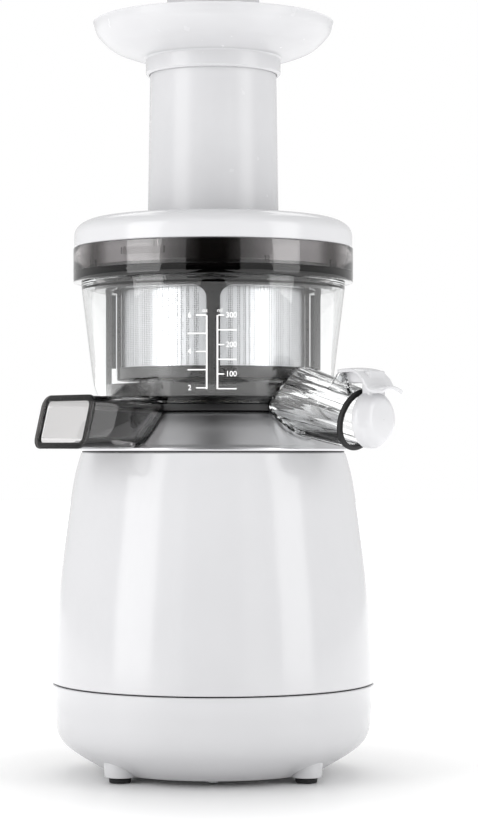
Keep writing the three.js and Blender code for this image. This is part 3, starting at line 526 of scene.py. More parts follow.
def spline(points, steps):
    """A smooth curve through every point."""
    made = []
    for i in range(len(points) - 1):
        p0 = Vector(points[max(i - 1, 0)])
        p1 = Vector(points[i])
        p2 = Vector(points[i + 1])
        p3 = Vector(points[min(i + 2, len(points) - 1)])
        for k in range(steps):
            t = k / steps
            made.append(tuple(0.5 * (2 * p1 + (p2 - p0) * t + (2 * p0 - 5 * p1 + 4 * p2 - p3) * t * t
                                     + (3 * p1 - p0 - 3 * p2 + p3) * t ** 3)))
    made.append(tuple(points[-1]))
    return made


# ---------- motor base ----------
def body_side():
    """The side of the base from its top edge to its underside, as (radius, height)."""
    top, wide, (under, bottom) = BODY_TOP_R, BODY_R, BODY_BOTTOM
    grow, fall, tuck, drop = wide - top, BODY_TOP_Z - BODY_WIDEST_Z, wide - under, BODY_WIDEST_Z - bottom
    return spline([
        (top, BODY_TOP_Z),
        (top + 0.25 * grow, BODY_TOP_Z - 0.13 * fall),
        (top + 0.5 * grow, BODY_TOP_Z - 0.36 * fall),
        (top + 0.86 * grow, BODY_TOP_Z - 0.71 * fall),
        (wide, BODY_WIDEST_Z),
        (wide - 0.03 * tuck, bottom + 0.62 * drop),
        (wide - 0.2 * tuck, bottom + 0.28 * drop),
        (under, bottom),
    ], 12)


def motor_base():
    side = body_side()
    wall = 2.6
    upper = [p for p in side if p[1] > SEAM_Z + 0.6]
    (rim_r, rim_z), rest = upper[0], upper[1:]
    skin = [(rim_r - 0.6, rim_z), (rim_r, rim_z - 0.5)] + rest
    edge = upper[-1][0]
    inner = [(r - wall, z) for r, z in upper[::-1] if z < BODY_TOP_Z - wall]
    flange = BODY_TOP_R - 8
    shell = skin + [(edge, SEAM_Z + 0.4), (edge - 0.4, SEAM_Z)] + [(edge - wall, SEAM_Z)] + inner
    shell += [(flange, BODY_TOP_Z - wall), (flange, BODY_TOP_Z)]
    obj = lathe("body_shell_fine", shell, 192)
    hole_low, hole_high = low("switch_bezel"), high("switch_bezel")
    mid = (hole_low.z + hole_high.z) / 2
    tall = (hole_high.z - hole_low.z) / 2 - 3.5
    wide = (hole_high.x - hole_low.x) / 2 - 3
    carve(obj, slab("opening", -wide, wide, BODY_R - 18, BODY_R + 5, mid - tall, mid + tall))
    seat(obj, "base", "white_plastic", WHITE_ABS, "body_shell")

    lower = [p for p in side if p[1] < SEAM_Z - 1.3]
    top = SEAM_Z - 0.7
    skin = [(lower[0][0] - 0.4, top), (lower[0][0], top - 0.4)] + lower
    inner = [(r - wall, max(z, BODY_BOTTOM[1] + wall)) for r, z in lower[::-1]]
    cover = skin + [(0, BODY_BOTTOM[1]), (0, BODY_BOTTOM[1] + wall)] + inner + [(lower[0][0] - wall, top)]
    obj = lathe("bottom_cover_fine", cover, 192)
    for i in range(-3, 4):
        carve(obj, slab("vent", -16, 16, i * 7 - 1.5, i * 7 + 1.5, 0, 10))
    carve(obj, moved(prism("cord_hole", circle(4.9), 60, 90), shift(0, 0, 27) @ turn(-90, "X")))
    seat(obj, "base", "white_plastic", WHITE_ABS, "bottom_cover")
    for i in range(4):
        pad = f"foot_pad_{i + 1}"
        (x0, y0, _), (x1, y1, z1) = low(pad), high(pad)
        at = shift((x0 + x1) / 2, (y0 + y1) / 2, 0)
        boss = lathe(f"foot_boss_{i + 1}", rounded([(0, 2.8), (7.6, 2.8), (8.2, 12), (0, 12)], 0.8), 48)
        seat(moved(boss, at), "base", "white_plastic", WHITE_ABS)
        pad_side = [(0, 0)] + rounded([(5.2, 0), (5.5, z1), (0.1, z1)], 0.6) + [(0, z1)]
        rubber = lathe(f"foot_rubber_{i + 1}", pad_side, 48)
        seat(moved(rubber, at), "base", "black_rubber", FOOT_RUBBER, pad)


def circle(r, count=48):
    return [(r * math.cos(a), r * math.sin(a)) for a in turns(count)]


def seat_collar():
    """The satin cone that the bowl locks on, with a bright bead at its foot."""
    low_z, top_z = low("seat_collar").z, COLLAR_TOP_Z
    outline = rounded([
        (BODY_TOP_R - 2.4, low_z, 0.1),
        (BODY_TOP_R + 0.2, low_z, 0.5),
        (BODY_TOP_R + 0.7, low_z + 1.4, 0.8),
        (BODY_TOP_R - 1.2, low_z + 3.0, 0.6),
        (COLLAR_TOP_R, top_z, 1.0),
        (8.2, top_z, 0.2),
        (8.2, top_z - 2.4, 0.2),
        (COLLAR_TOP_R - 2, top_z - 2.4, 0.4),
        (BODY_TOP_R - 4, low_z + 3.0, 0.4),
    ], 0.3)
    seat(lathe("seat_collar_fine", outline), "base", "satin_metal", SATIN, "seat_collar")
    joint = lathe("joint_ring", rounded([
        (BODY_TOP_R - 3, BODY_TOP_Z - 0.1),
        (BODY_TOP_R - 0.5, BODY_TOP_Z - 0.1),
        (BODY_TOP_R - 0.5, low_z + 0.1),
        (BODY_TOP_R - 3, low_z + 0.1),
    ], 0.05))
    seat(joint, "base", "black_rubber", SILICONE)


# ---------- bowl ----------
BOWL_R = radius("bowl")


def bowl_side():
    """The outside of the bowl as (radius, height), from its floor to its shoulder."""
    z = BOWL_LOW_Z
    return spline([
        (BAND_R + 1, z),
        (57.0, z + 3.4),
        (59.2, z + 9),
        (60.5, z + 16.7),
        (62.0, z + 29),
        (65.0, z + 53),
        (BOWL_R, RING_LOW_Z - 0.4),
    ], 8)


def bowl_radius(z):
    side = bowl_side()
    for (r0, z0), (r1, z1) in zip(side, side[1:]):
        if z0 <= z <= z1:
            return r0 + (r1 - r0) * (z - z0) / max(z1 - z0, 1e-9)
    return side[-1][0] if z > side[-1][1] else side[0][0]


def bowl_blank(name, out):
    side = [(r + out, z) for r, z in bowl_side()]
    return lathe(name, [(0, BOWL_LOW_Z)] + side + [(0, side[-1][1])])


def clear_bowl():
    side = bowl_side()
    w = BOWL_WALL
    floor = BOWL_LOW_Z + 2.4
    neck_r = RING_R - 2 - 1.6 - 3.6
    top_z = high("bowl").z
    inner = [(r - w, z) for r, z in side[::-1] if floor + 1.5 < z < RING_LOW_Z - 3]
    outline = [(8.1, BOWL_LOW_Z)] + side
    outline += [(neck_r, side[-1][1]), (neck_r, top_z - 0.4), (neck_r - 0.4, top_z)]
    outline += [(neck_r - w + 0.4, top_z), (neck_r - w, top_z - 0.4), (neck_r - w, RING_LOW_Z - 2)]
    outline += inner + [(BAND_R - 1, floor), (9.7, floor), (9.7, 203.6), (9.3, 204), (8.4, 204), (8.1, 203.6)]
    obj = lathe("bowl_fine", outline, 160)
    port = spout_plug("port", SPOUT["root_r"] - SPOUT["wall"], SPOUT["mouth_r"] - SPOUT["wall"], 6)
    kept_in = [(0, 150), (80, 150), (80, floor), (51.4, floor), (51.4, 260), (0, 260)]
    carve(port, lathe("port_floor", kept_in, 64))
    carve(obj, port)
    seat(obj, "chamber", "clear_plastic", CLEAR, "bowl", sharp=40)
    band = lathe("bowl_base_band_fine", rounded([
        (BAND_R - 6, COLLAR_TOP_Z + 0.3), (BAND_R, COLLAR_TOP_Z + 0.3), (BAND_R + 0.5, BOWL_LOW_Z - 0.3),
        (BAND_R - 6, BOWL_LOW_Z - 0.3)], 0.4))
    seat(band, "chamber", "black_plastic", BLACK_ABS, "bowl_base_band")


def arc_block(name, r0, r1, z0, z1, azimuth, angle, steps=12):
    """A ring sector about the drive axis."""
    angles = [math.radians(azimuth - angle / 2 + angle * i / steps) for i in range(steps + 1)]
    outline = [(r1 * math.cos(a), r1 * math.sin(a)) for a in angles]
    outline += [(r0 * math.cos(a), r0 * math.sin(a)) for a in angles[::-1]]
    return prism(name, outline, z0, z1)


def rim_ring():
    """The smoked ring that the lid locks into, with its ribs and end blocks."""
    inner = RING_R - 2
    ledge = RING_R - 6.9
    split = RING_LOW_Z + 5.2
    foot = rounded([
        (ledge, RING_LOW_Z, 0.3),
        (RING_R - 0.2, RING_LOW_Z, 0.5),
        (RING_R, RING_LOW_Z + 2.2, 0.3),
        (RING_R, split - 0.05, 0.1),
        (inner, split - 0.05, 0.1),
        (inner, RING_LOW_Z + 3, 0.5),
        (ledge, RING_LOW_Z + 3, 0.3),
    ], 0.3, 3)
    seat(lathe("rim_ring_foot", foot, 160), "chamber", "smoke_plastic", SMOKE_FLANGE, sharp=40)
    outline = rounded([
        (RING_R, split, 0.1),
        (RING_R, RING_TOP_Z, 0.5),
        (inner, RING_TOP_Z, 0.3),
        (inner, split, 0.1),
    ], 0.3, 3)
    obj = lathe("rim_ring_fine", outline, 160)
    for i in range(3):
        hook = arc_block("hook", inner - 1.1, inner + 0.5, RING_TOP_Z - 6.5, RING_TOP_Z - 3.5, 120 * i, 20)
        carve(obj, hook, how="UNION")
    for azimuth, width in ((-148, 4.0), (-68, 1.6), (-32, 4.0), (90, 1.6)):
        rib = arc_block("rib", inner - 0.9, inner + 0.4, split + 0.4, RING_TOP_Z - 8, azimuth, width, 3)
        carve(obj, rib, how="UNION")
    over_lug = arc_block("rib", inner - 0.9, inner + 0.4, RING_TOP_Z - 6.9, RING_TOP_Z - 0.6, -113.5, 1.6, 3)
    carve(obj, over_lug, how="UNION")
    seat(obj, "chamber", "smoke_plastic", SMOKE_RING, "rim_ring", sharp=40)


# ---------- spout ----------
def spout_frame():
    """From the spout's own frame (x out along it from the mouth, z up) to the object's."""
    return turn(SPOUT["yaw"]) @ shift(SPOUT["at"], 0, SPOUT["z"]) @ turn(SPOUT["slope"], "Y")


def along_x(name, r_start, r_end, start, end, count=64):
    """A tapered plug along x."""
    verts = [(start, r_start * math.cos(a), r_start * math.sin(a)) for a in turns(count)]
    verts += [(end, r_end * math.cos(a), r_end * math.sin(a)) for a in turns(count)]
    faces = [list(range(count)), list(range(count, 2 * count))]
    faces += [[i, (i + 1) % count, count + (i + 1) % count, count + i] for i in range(count)]
    obj = new_object(name, verts, faces)
    shade(obj.data)
    return obj


def spout_plug(name, root_r, mouth_r, more):
    length = SPOUT["at"] - SPOUT["root"]
    slope = (root_r - mouth_r) / length
    grow = slope * more
    return moved(along_x(name, root_r + grow, mouth_r - grow, -length - more, more), spout_frame())


def cone_blank(name, out):
    """The collar's cone, grown outwards, with room above it."""
    slope = (BODY_TOP_R - COLLAR_TOP_R) / (COLLAR_TOP_Z - BODY_TOP_Z)
    foot = BODY_TOP_R + 0.7 + out
    return lathe(name, [(0, 140), (foot, 140), (foot, BODY_TOP_Z + 0.8),
                        (COLLAR_TOP_R + out - slope * 8, COLLAR_TOP_Z + 8.8), (0, COLLAR_TOP_Z + 8.8)])


def under_bowl(name, r):
    return lathe(name, [(0, 150), (r, 150), (r, BOWL_LOW_Z + 0.1), (0, BOWL_LOW_Z + 0.1)])


def juice_spout():
    wall = SPOUT["wall"]
    outer = spout_plug("juice_spout_fine", SPOUT["root_r"], SPOUT["mouth_r"], 0)
    carve(outer, cone_blank("cone", 0.6), bowl_blank("bowl_room", 0.3), under_bowl("under", BAND_R + 1.3))
    inner = spout_plug("bore", SPOUT["root_r"] - wall, SPOUT["mouth_r"] - wall, 6)
    carve(inner, cone_blank("cone", 0.6 + wall))
    carve(outer, inner)
    seat(bevelled(outer, 0.35, 2), "chamber", "clear_plastic", CLEAR, "juice_spout", sharp=40)
    for side in (-1, 1):
        ear = moved(hinge_ear(f"hinge_ear_{side + 2}", side), spout_frame())
        seat(bevelled(ear, 0.4), "chamber", "clear_plastic", CLEAR)
    r = SPOUT["mouth_r"]
    gasket = along_x("spout_gasket_fine", r + 0.4, r + 0.4, 0.3, 2.3)
    carve(gasket, along_x("gasket_hole", r - wall, r - wall, -3, 5))
    seat(moved(bevelled(gasket, 0.5), spout_frame()), "chamber", "black_rubber", SILICONE, "spout_gasket")


def hinge_ear(name, side):
    x, z = -CAP["back"], CAP["up"]
    outline = [(x - 6, 10.5), (-1, 10.5), (x + 2.1, z + 1.8)]
    angles = [math.radians(30 + 15 * i) for i in range(11)]
    outline += [(x + 2.8 * math.cos(a), z + 2.8 * math.sin(a)) for a in angles]
    half = 1.2
    return moved(side_prism(name, outline, half), shift(0, side * (CAP["width"] / 2 + 0.4 + half), 0))


def swing():
    """From the closed cap to its open rest place, in the spout's frame."""
    x, z = -CAP["back"], CAP["up"]
    return spout_frame() @ shift(x, 0, z) @ turn(-CAP["open"], "Y") @ shift(-x, 0, -z)


def spout_cap():
    face, thick, r = CAP["face"], CAP["thick"], CAP["r"]
    x, z, half = -CAP["back"], CAP["up"], CAP["width"] / 2
    dome = rounded([
        (r, 0, 0.5),
        (r, thick * 0.45, 4.0),
        (r * 0.72, thick, 5.0),
        (0.01, thick * 1.08, 0.5),
        (0.01, thick - 2, 0.5),
        (r * 0.7, thick - 2.2, 1.0),
        (r - 2, thick * 0.4, 2.0),
        (r - 2, 0, 0.5),
    ], 1, 6)
    cup = moved(lathe("spout_cap_fine", dome, 96), shift(face, 0, -CAP["drop"]) @ turn(90, "Y"))
    top = z + 3.5
    arm_side = [
        (face, r - 6),
        (face + 5, r - 6),
        (face + 5, top),
        (x, top),
        (x - 2.4, z + 1.8),
        (x - 2.8, z),
        (x, z - 2.4),
        (face, z - 2.2),
        (face, z - 4),
    ]
    arm = bevelled(side_prism("arm", arm_side, half), 1.0)
    carve(cup, arm, how="UNION")
    carve(cup, lever_plate(), how="UNION")
    carve(cup, moved(prism("pin_hole", circle(1.8, 24), -30, 30), shift(x, 0, z) @ turn(90, "X")))
    seat(moved(cup, swing()), "spout_cap", "white_plastic", WHITE_ABS, "spout_cap", sharp=45)


def lever_plate():
    """A visor that runs out from the hinge, curls down over the cup and flares at its tip."""
    x, top = -CAP["back"], CAP["up"] + 3.2
    path = spline([
        (x - 2, top),
        (x + 8, top + 0.8),
        (x + 14, top - 2.6),
        (x + 18, top - 7.4),
        (x + 24.5, top - 8),
    ], 8)
    verts, faces = [], []
    across = 12
    rows = len(path)
    for i, (px, pz) in enumerate(path):
        share = i / (rows - 1)
        half = 7.5 + 3.0 * math.sin(math.pi * min(1.0, share * 0.62 + 0.12)) - 10.5 * max(0.0, share - 0.8)
        for k in range(across + 1):
            v = 2 * k / across - 1
            sag = -2.2 * share * v * v
            verts.append((px, half * v, pz + sag))
    for i in range(rows - 1):
        for k in range(across):
            a = i * (across + 1) + k
            faces.append([a, a + 1, a + across + 2, a + across + 1])
    obj = new_object("lever", verts, faces)
    change = obj.modifiers.new("thick", "SOLIDIFY")
    change.thickness = 1.8 * MM
    change.offset = 0
    bpy.context.view_layer.update()
    result = bpy.data.meshes.new_from_object(obj.evaluated_get(bpy.context.evaluated_depsgraph_get()))
    obj.modifiers.clear()
    obj.data = result
    return bevelled(obj, 0.6, 3, 50)


# ---------- pulp duct ----------
def duct_section(grow, x):
    """A rounded rectangle across the duct at one station."""
    half, r = DUCT["width"] / 2 + grow, DUCT["corner"] + grow
    low_z, high_z = DUCT["low"] - grow, DUCT["high"] + grow
    corners = [
        (half - r, high_z - r, 0),
        (-half + r, high_z - r, 90),
        (-half + r, low_z + r, 180),
        (half - r, low_z + r, 270),
    ]
    ring = []
    for y, z, start in corners:
        for k in range(9):
            a = math.radians(start + 90 * k / 8)
            ring.append((x, y + r * math.cos(a), z + r * math.sin(a)))
    return ring


def duct_blank(name, grow, more):
    stations = [duct_section(grow, x) for x in (36, DUCT["reach"] + DUCT["lean"] + more + 4)]
    count = len(stations[0])
    verts = stations[0] + stations[1]
    faces = [list(range(count))[::-1], list(range(count, 2 * count))]
    faces += [[i, (i + 1) % count, count + (i + 1) % count, count + i] for i in range(count)]
    obj = new_object(name, verts, faces)
    if more == 0:
        slope = DUCT["lean"] / (DUCT["high"] - DUCT["low"])
        edge = [(DUCT["reach"] + slope * (DUCT["high"] - z), z) for z in (130, 220)]
        carve(obj, side_prism("beyond", [edge[0], (150, 130), (150, 220), edge[1]], 40))
    return moved(obj, turn(DUCT["yaw"]))


def pulp_duct():
    wall = DUCT["wall"]
    outer = duct_blank("pulp_duct_fine", 0, 0)
    carve(outer, cone_blank("cone", 0.6), bowl_blank("bowl_room", 0.3), under_bowl("under", 44))
    inner = duct_blank("duct_bore", -wall, 10)
    carve(inner, cone_blank("cone", 0.6 + wall))
    carve(inner, under_bowl("under", 45.5))
    carve(outer, inner)
    seat(bevelled(outer, 0.5, 3), "chamber", "smoke_plastic", SMOKE_DUCT, "pulp_duct", sharp=40)
    lip = duct_lip("duct_lip_fine", 0.5)
    carve(lip, moved(duct_tube("lip_bore", -wall - 0.4), turn(DUCT["yaw"])))
    seat(bevelled(lip, 0.3, 2), "chamber", "smoke_plastic", SMOKE_LIP)


def duct_tube(name, grow, start=60, end=120):
    """A straight length of the duct's section, along x."""
    ends = [duct_section(grow, start), duct_section(grow, end)]
    count = len(ends[0])
    faces = [list(range(count))[::-1], list(range(count, 2 * count))]
    faces += [[i, (i + 1) % count, count + (i + 1) % count, count + i] for i in range(count)]
    return new_object(name, ends[0] + ends[1], faces)


def duct_lip(name, gap):
    """The thicker frame just off the raked mouth."""
    slope = DUCT["lean"] / (DUCT["high"] - DUCT["low"])
    frame_x = [(DUCT["reach"] + slope * (DUCT["high"] - z), z) for z in (130, 220)]
    strip = [(frame_x[0][0] + gap, 130), (frame_x[0][0] + gap + 1.6, 130),
             (frame_x[1][0] + gap + 1.6, 220), (frame_x[1][0] + gap, 220)]
    obj = duct_tube(name, 0.6)
    carve(obj, side_prism("mouth_slice", strip, 40), how="INTERSECT")
    return moved(obj, turn(DUCT["yaw"]))


# ---------- lid, feed tube, tray and pusher ----------
def lid():
    top = high("lid").z - NECK_UP
    r = high("lid").x
    neck = TUBE_R - TUBE_WALL - 0.3
    side_z = LID_LOW_Z + 6.0
    shoulder_r, shoulder_z = 12.5, top - 1.0 - side_z
    outer = [(r - 0.3, LID_LOW_Z), (r, LID_LOW_Z + 0.4), (r, side_z)]
    for i in range(1, 11):
        a = math.radians(9 * i)
        outer.append((r - shoulder_r * (1 - math.cos(a)), side_z + shoulder_z * math.sin(a)))
    outer += [(48, top - 0.4), (40, top - 0.1), (neck, top)]
    inner = [(x - 2.3, z - 1.9) for x, z in outer[::-1] if x > neck + 1 and z > LID_LOW_Z + 2]
    skirt = RING_R - 3.6
    outline = outer + [(neck, top + 7.6), (neck - 0.4, top + 8), (neck - 1.6, top + 8)]
    outline += [(neck - 1.9, top + 7.6), (neck - 1.9, top - 2.3)] + inner
    outline += [(skirt - 1.9, LID_LOW_Z + 2), (skirt - 1.9, LID_LOW_Z - 10)]
    outline += [(skirt, LID_LOW_Z - 10), (skirt, LID_LOW_Z)]
    obj = lathe("lid_fine", outline, 160)
    for i in range(3):
        lug = arc_block("lug", skirt - 0.5, RING_R - 2.4, LID_LOW_Z - 10, LID_LOW_Z - 7.4, 120 * i + 23, 20)
        carve(obj, lug, how="UNION")
    carve(obj, slab("bar", -neck + 0.5, neck - 0.5, -4.5, 4.5, top - 5, top), how="UNION")
    carve(obj, lathe("hub", [(0, top - 13), (8, top - 13), (8, top), (0, top)], 48), how="UNION")
    carve(obj, lathe("socket", [(0, top - 14), (6.1, top - 14), (6.1, top - 2.4), (0, top - 2.4)], 48))
    seat(obj, "lid", "white_plastic", WHITE_ABS, "lid", sharp=35)


def feed_tube():
    r, top_r, w = TUBE_R, TUBE_TOP_R, TUBE_WALL
    outline = rounded([
        (r - w, TUBE_LOW_Z, 0.3),
        (r, TUBE_LOW_Z, 0.3),
        (top_r, TUBE_TOP_Z, 0.6),
        (top_r - w + 0.6, TUBE_TOP_Z, 0.6),
    ], 0.3)
    seat(lathe("feed_tube_fine", outline), "lid", "milky_plastic", MILKY, "feed_tube")


def feed_tray():
    floor, low_z = 356.0, low("feed_tray").z
    bore = TUBE_TOP_R - TUBE_WALL
    bowl = spline([
        (37.6, floor),
        (46.7, floor + 3),
        (52.1, floor + 6),
        (57.9, floor + 12),
        (TRAY_R - 0.4, TRAY_TOP_Z - 0.6),
    ], 6)
    inner = [(r - 2.0, min(z + 1.6, TRAY_TOP_Z - 0.2)) for r, z in bowl[::-1]]
    outline = [(31.9, low_z), (32.8, low_z), (33.6, low_z + 1.0), (33.6, floor - 0.8)]
    outline += [(34.4, floor - 0.1)] + bowl
    outline += [(TRAY_R - 0.1, TRAY_TOP_Z - 0.2), (TRAY_R - 0.6, TRAY_TOP_Z), (TRAY_R - 1.6, TRAY_TOP_Z)]
    outline += inner[1:] + [(33, floor + 2.1), (bore + 0.6, floor + 2.2), (bore, floor + 1.6)]
    outline += [(bore, TUBE_TOP_Z + 0.3), (31.9, TUBE_TOP_Z + 0.3)]
    seat(lathe("feed_tray_fine", outline, 160), "tray", "milky_plastic", MILKY, "feed_tray")


def pusher():
    z0 = low("pusher").z
    z1 = high("pusher").z
    foot = radius("pusher")
    grip = 23.0
    outline = [(0, z0)] + rounded([
        (foot - 0.4, z0, 1.2),
        (foot, z0 + 6, 1.0),
        (14.5, z0 + 8, 2),
        (14.5, 370, 2),
        (21.5, 373, 2),
        (grip, 375, 1.5),
        (grip, z1 - 4, 3.5),
        (grip - 3, z1, 3),
        (12.5, z1, 1.5),
        (12.5, z0 + 2, 1),
    ], 1, 5)
    outline += [(0, z0 + 2)]
    seat(lathe("pusher_fine", outline, 96), "pusher", "milky_plastic", MILKY, "pusher")


# ---------- inside the bowl ----------
def brush_cage():
    """The fine top ring and struts, with rounded roots, laid over the toothed turning frame."""
    inner, outer = 51.0, radius("brush_cage")
    top, under = BRUSH_TOP_Z, BRUSH_TOP_Z - 3.5
    section = rounded([(inner, under), (outer, under), (outer, top), (inner, top)], 0.6)
    ring = lathe("brush_top_ring", section)
    seat(ring, "brush", "dark_resin", DARK_RESIN)
    for i in range(BRUSH_STRUTS):
        half, flare, z0 = 3.25, 6.0, BRUSH_LOW_Z + 3
        edge = [(half, z0)]
        for a in [math.radians(10 * k) for k in range(10)]:
            edge.append((half + flare - flare * math.cos(a), under - flare + flare * math.sin(a)))
        outline = edge + [(-y, z) for y, z in edge[::-1]]
        strut = moved(side_prism(f"brush_strut_{i + 1}", outline, 1.3), shift(0, -52.1, 0))
        seat(moved(strut, turn(360 / BRUSH_STRUTS * i)), "brush", "dark_resin", DARK_RESIN)


def strainer():
    """The dark frame with four windows, and the sieve sleeve inside it."""
    r, top = radius("strainer_frame"), high("strainer_frame").z
    bottom = low("strainer_mesh").z - 2.3
    outline = rounded([
        (23, bottom, 0.3),
        (r, bottom, 0.8),
        (r, top, 0.5),
        (r - 2, top, 0.5),
        (r - 2, bottom + 2, 0.1),
        (23, bottom + 2, 0.3),
    ], 0.3)
    obj = lathe("strainer_frame_fine", outline)
    span = 90 - math.degrees(5 / r)
    for i in range(4):
        carve(obj, arc_block("window", r - 6, r + 6, bottom + 6, top - 5, 90 * i + 45, span, 40))
    for azimuth in (90, 180, 270):
        leg = slab("leg", 33, 37, -2.5, 2.5, BOWL_LOW_Z + 2.7, bottom + 1)
        carve(obj, moved(leg, turn(azimuth)), how="UNION")
    seat(obj, "chamber", "dark_resin", DARK_RESIN, "strainer_frame")
    sleeve_r, low_z, high_z = radius("strainer_mesh"), low("strainer_mesh").z, high("strainer_mesh").z
    sleeve = lathe("strainer_mesh_fine", [(sleeve_r - 0.8, low_z), (sleeve_r, low_z), (sleeve_r, high_z),
                                          (sleeve_r - 0.8, high_z)])
    seat(sleeve, "chamber", "steel", SIEVE, "strainer_mesh")


def auger():
    """The screw: a tapering core with two flights that wind once round it."""
    z0, z1 = 198.6, 258.0
    rows, around = 90, 120
    verts, faces = [], []
    for i in range(rows + 1):
        up = i / rows
        core = 21.0 - 7.0 * up
        for a in turns(around):
            phase = (a / math.pi * 180) % 180
            near = min(phase, 180 - phase)
            rise = max(0.0, 1 - max(0.0, near - 7) / 9)
            r = core + (FLIGHT_R - core) * rise ** 1.6 * min(1.0, (1 - up) * 14)
            turn_by = a - 2 * math.pi * up
            verts.append((r * math.cos(turn_by), r * math.sin(turn_by), z0 + (z1 - z0) * up))
    for i in range(rows):
        for k in range(around):
            n = (k + 1) % around
            faces.append([i * around + k, i * around + n, (i + 1) * around + n, (i + 1) * around + k])
    faces += [list(range(around))[::-1], list(range(rows * around, (rows + 1) * around))]
    obj = new_object("auger_fine", verts, faces)
    carve(obj, lathe("neck", [(0, 193.8), (20, 193.8), (20, 199.5), (0, 199.5)], 64), how="UNION")
    carve(obj, lathe("pin", rounded([(0.01, 250), (4, 250), (4, 270), (0.01, 270)], 0.6), 32), how="UNION")
    carve(obj, lathe("socket", [(0, 190), (10.5, 190), (10.5, 205), (0, 205)], 48))
    carve(obj, prism("hex", circle(7.1, 6), 200, 213))
    seat(obj, "auger", "black_plastic", BLACK_ABS, "auger", sharp=50)


# ---------- printed scale ----------
def on_bowl(x, z):
    """A point just off the bowl's face, x millimetres round from the front."""
    r = bowl_radius(z) + 0.12
    a = -math.pi / 2 + x / r
    return (r * math.cos(a), r * math.sin(a), z)


def printed_strip(name, x0, x1, z0, z1):
    cols = max(1, int(abs(x1 - x0) / 1.0))
    rows = max(1, int(abs(z1 - z0) / 2.0))
    verts = []
    for j in range(rows + 1):
        for i in range(cols + 1):
            verts.append(on_bowl(x0 + (x1 - x0) * i / cols, z0 + (z1 - z0) * j / rows))
    faces = []
    for j in range(rows):
        for i in range(cols):
            a = j * (cols + 1) + i
            faces.append([a, a + 1, a + cols + 2, a + cols + 1])
    return new_object(name, verts, faces)


def printed_number(name, words, x, z, size, align):
    curve = bpy.data.curves.new(name, "FONT")
    curve.body = words
    curve.size = size
    curve.align_x = align
    curve.align_y = "CENTER"
    curve.offset = 0.04 * size / 3
    text = bpy.data.objects.new(name, curve)
    bpy.context.scene.collection.objects.link(text)
    bpy.context.view_layer.update()
    mesh = bpy.data.meshes.new_from_object(text.evaluated_get(bpy.context.evaluated_depsgraph_get()))
    bpy.data.objects.remove(text)
    verts = [on_bowl(x + v.co.x, z + v.co.y) for v in mesh.vertices]
    faces = [list(p.vertices) for p in mesh.polygons]
    return new_object(name, verts, faces)


def scale_marks():
    """The printed scale: ounces on the left line and millilitres on the right."""
    line, top, bottom = 0.6, 224.7, 189.8
    strips = [
        ("left_line", -3.5, -3.5 + line + 0.2, bottom, top),
        ("right_line", 1.6, 1.6 + line + 0.2, bottom, top),
    ]
    for i in range(5):
        z = top - (top - 190.4) * i / 4
        strips.append((f"left_tick_{i + 1}", -12.3 if i % 2 else -8.2, -3.5, z - line / 2, z + line / 2))
    for i in range(6):
        z = top - (top - 190.0) * i / 5
        strips.append((f"right_tick_{i + 1}", 2.4, 11.2 if i % 2 else 5.2, z - line / 2, z + line / 2))
    made = [printed_strip(*strip) for strip in strips]
    for i, words in enumerate(("6", "4", "2")):
        z = top - (top - 190.4) * i / 2
        made.append(printed_number(f"left_number_{i + 1}", words, -11.3, z, 3.6, "CENTER"))
    for i, words in enumerate(("300", "200", "100")):
        z = top - (top - 190.0) * i * 0.4
        made.append(printed_number(f"right_number_{i + 1}", words, 8.6, z, 3.6, "CENTER"))
    made.append(printed_number("left_unit", "oz", -3.9, top + 2.2, 2.6, "CENTER"))
    made.append(printed_number("right_unit", "ml", 3.2, top + 2.2, 2.6, "CENTER"))
    for obj in made:
        obj.data.materials.append(PRINT)
        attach(obj, "chamber")


# ---------- studio ----------
def softbox(name, size, at, watts):
    """A soft panel light that faces the middle of the object."""
    light = bpy.data.lights.new(name, "AREA")
    light.shape = "RECTANGLE"
    light.size, light.size_y = size
    light.energy = watts
    obj = bpy.data.objects.new(name, light)
    bpy.context.scene.collection.objects.link(obj)
    obj.location = at
    obj.rotation_euler = (Vector((0, 0, 0.2)) - Vector(at)).to_track_quat("-Z", "Y").to_euler()
    obj.visible_camera = False
    return obj


def black_flag(name, corners):
    """A black card that only shows in reflections, hung beside a shiny object."""
    material, tree = blank(name + " card")
    finish(tree, put(tree, "ShaderNodeBsdfPrincipled", Base_Color=srgb("#0c0c0c"), Roughness=0.9))
    flag = new_object(name, corners, [[0, 1, 2, 3]])
    flag.data.materials.append(material)
    flag.visible_camera = False
    flag.visible_shadow = False
    flag.visible_diffuse = False
    flag.visible_transmission = False


def white_air(world):
    """White all round: full white where the camera sees it, a little less where it lights."""
    world.use_nodes = True
    tree = world.node_tree
    back = tree.nodes["Background"]
    back.inputs["Color"].default_value = srgb("#ffffff")
    path = put(tree, "ShaderNodeLightPath")
    seen = put(tree, "ShaderNodeMath", {"operation": "MAXIMUM"})
    tree.links.new(path.outputs["Is Camera Ray"], seen.inputs[0])
    tree.links.new(path.outputs["Is Transmission Ray"], seen.inputs[1])
    strength = put(tree, "ShaderNodeMapRange", Value=seen.outputs[0], To_Min=0.72, To_Max=1.0)
    tree.links.new(strength.outputs["Result"], back.inputs["Strength"])


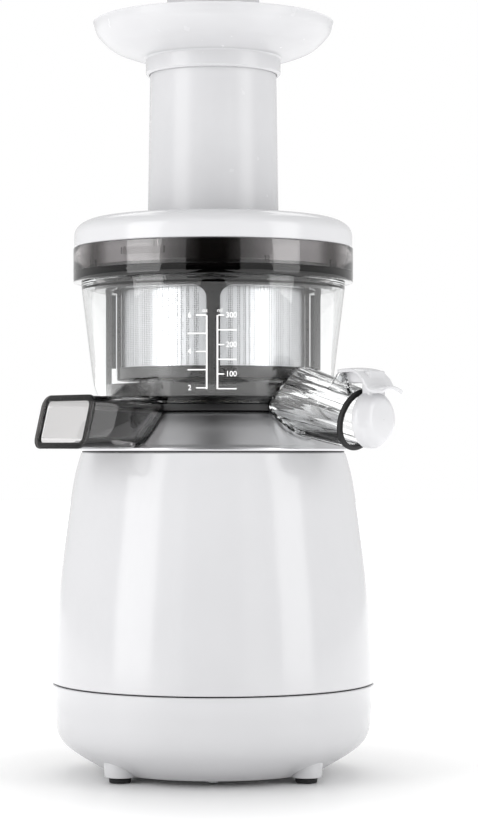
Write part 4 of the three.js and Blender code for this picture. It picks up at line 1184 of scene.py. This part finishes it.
def studio():
    material, tree = blank("white sweep")
    # Painted shadow and glow: the floor's emission is nil near the base and grows with distance, so the floor
    # darkens round the base and glows white farther off.
    away = put(tree, "ShaderNodeVectorMath", {"operation": "LENGTH"})
    tree.links.new(place(tree), away.inputs[0])
    painted_floor_glow = put(tree, "ShaderNodeMapRange", Value=away.outputs["Value"], From_Min=0.07, From_Max=0.35,
               To_Min=0.0, To_Max=0.7)
    shader = put(
        tree,
        "ShaderNodeBsdfPrincipled",
        Base_Color=tones(tree, grain(tree, 400.0), "#f4f4f4", "#f8f8f8"),
        Roughness=0.35,
        Emission_Color=srgb("#ffffff"),
        Emission_Strength=painted_floor_glow.outputs["Result"],
    )
    finish(tree, shader)
    half = 6000
    corners = [(-half, -half, 0), (half, -half, 0), (half, half, 0), (-half, half, 0)]
    floor = new_object("floor", corners, [[0, 1, 2, 3]])
    floor.data.materials.append(material)
    world = bpy.data.worlds.new("studio air")
    bpy.context.scene.world = world
    white_air(world)
    softbox("key_left", (0.9, 1.4), (-1.35, -0.85, 0.6), 12)
    softbox("key_right", (0.7, 1.4), (1.35, -0.75, 0.6), 8)
    softbox("top", (1.2, 1.0), (0, 0.9, 1.5), 6)
    black_flag("front_flag", [(-750, -1900, 0), (750, -1900, 0), (750, -1900, 1300), (-750, -1900, 1300)])
    black_flag("floor_flag", [(-300, -1900, 1), (300, -1900, 1), (300, -420, 1), (-300, -420, 1)])
    black_flag("ceiling_flag", [(-200, -1300, 1500), (200, -1300, 1500), (200, 250, 1500), (-200, 250, 1500)])


def camera():
    data = bpy.data.cameras.new("camera")
    data.lens = 104.0
    data.sensor_width = 36.0
    data.shift_x = 0.031
    data.shift_y = 0.038
    data.clip_start = 0.05
    obj = bpy.data.objects.new("camera", data)
    bpy.context.scene.collection.objects.link(obj)
    obj.location = (0, -1.2, 0.162)
    obj.rotation_euler = (math.radians(90), 0, 0)
    bpy.context.scene.camera = obj
    scene = bpy.context.scene
    scene.view_settings.view_transform = "Standard"
    scene.cycles.max_bounces = 20
    scene.cycles.transmission_bounces = 20
    scene.cycles.transparent_max_bounces = 20
    scene.cycles.sample_clamp_indirect = 4.0


camera()
finish_frame_nodes()
motor_base()
seat_collar()
clear_bowl()
rim_ring()
juice_spout()
spout_cap()
pulp_duct()
lid()
feed_tube()
feed_tray()
pusher()
brush_cage()
strainer()
auger()
scale_marks()
studio()
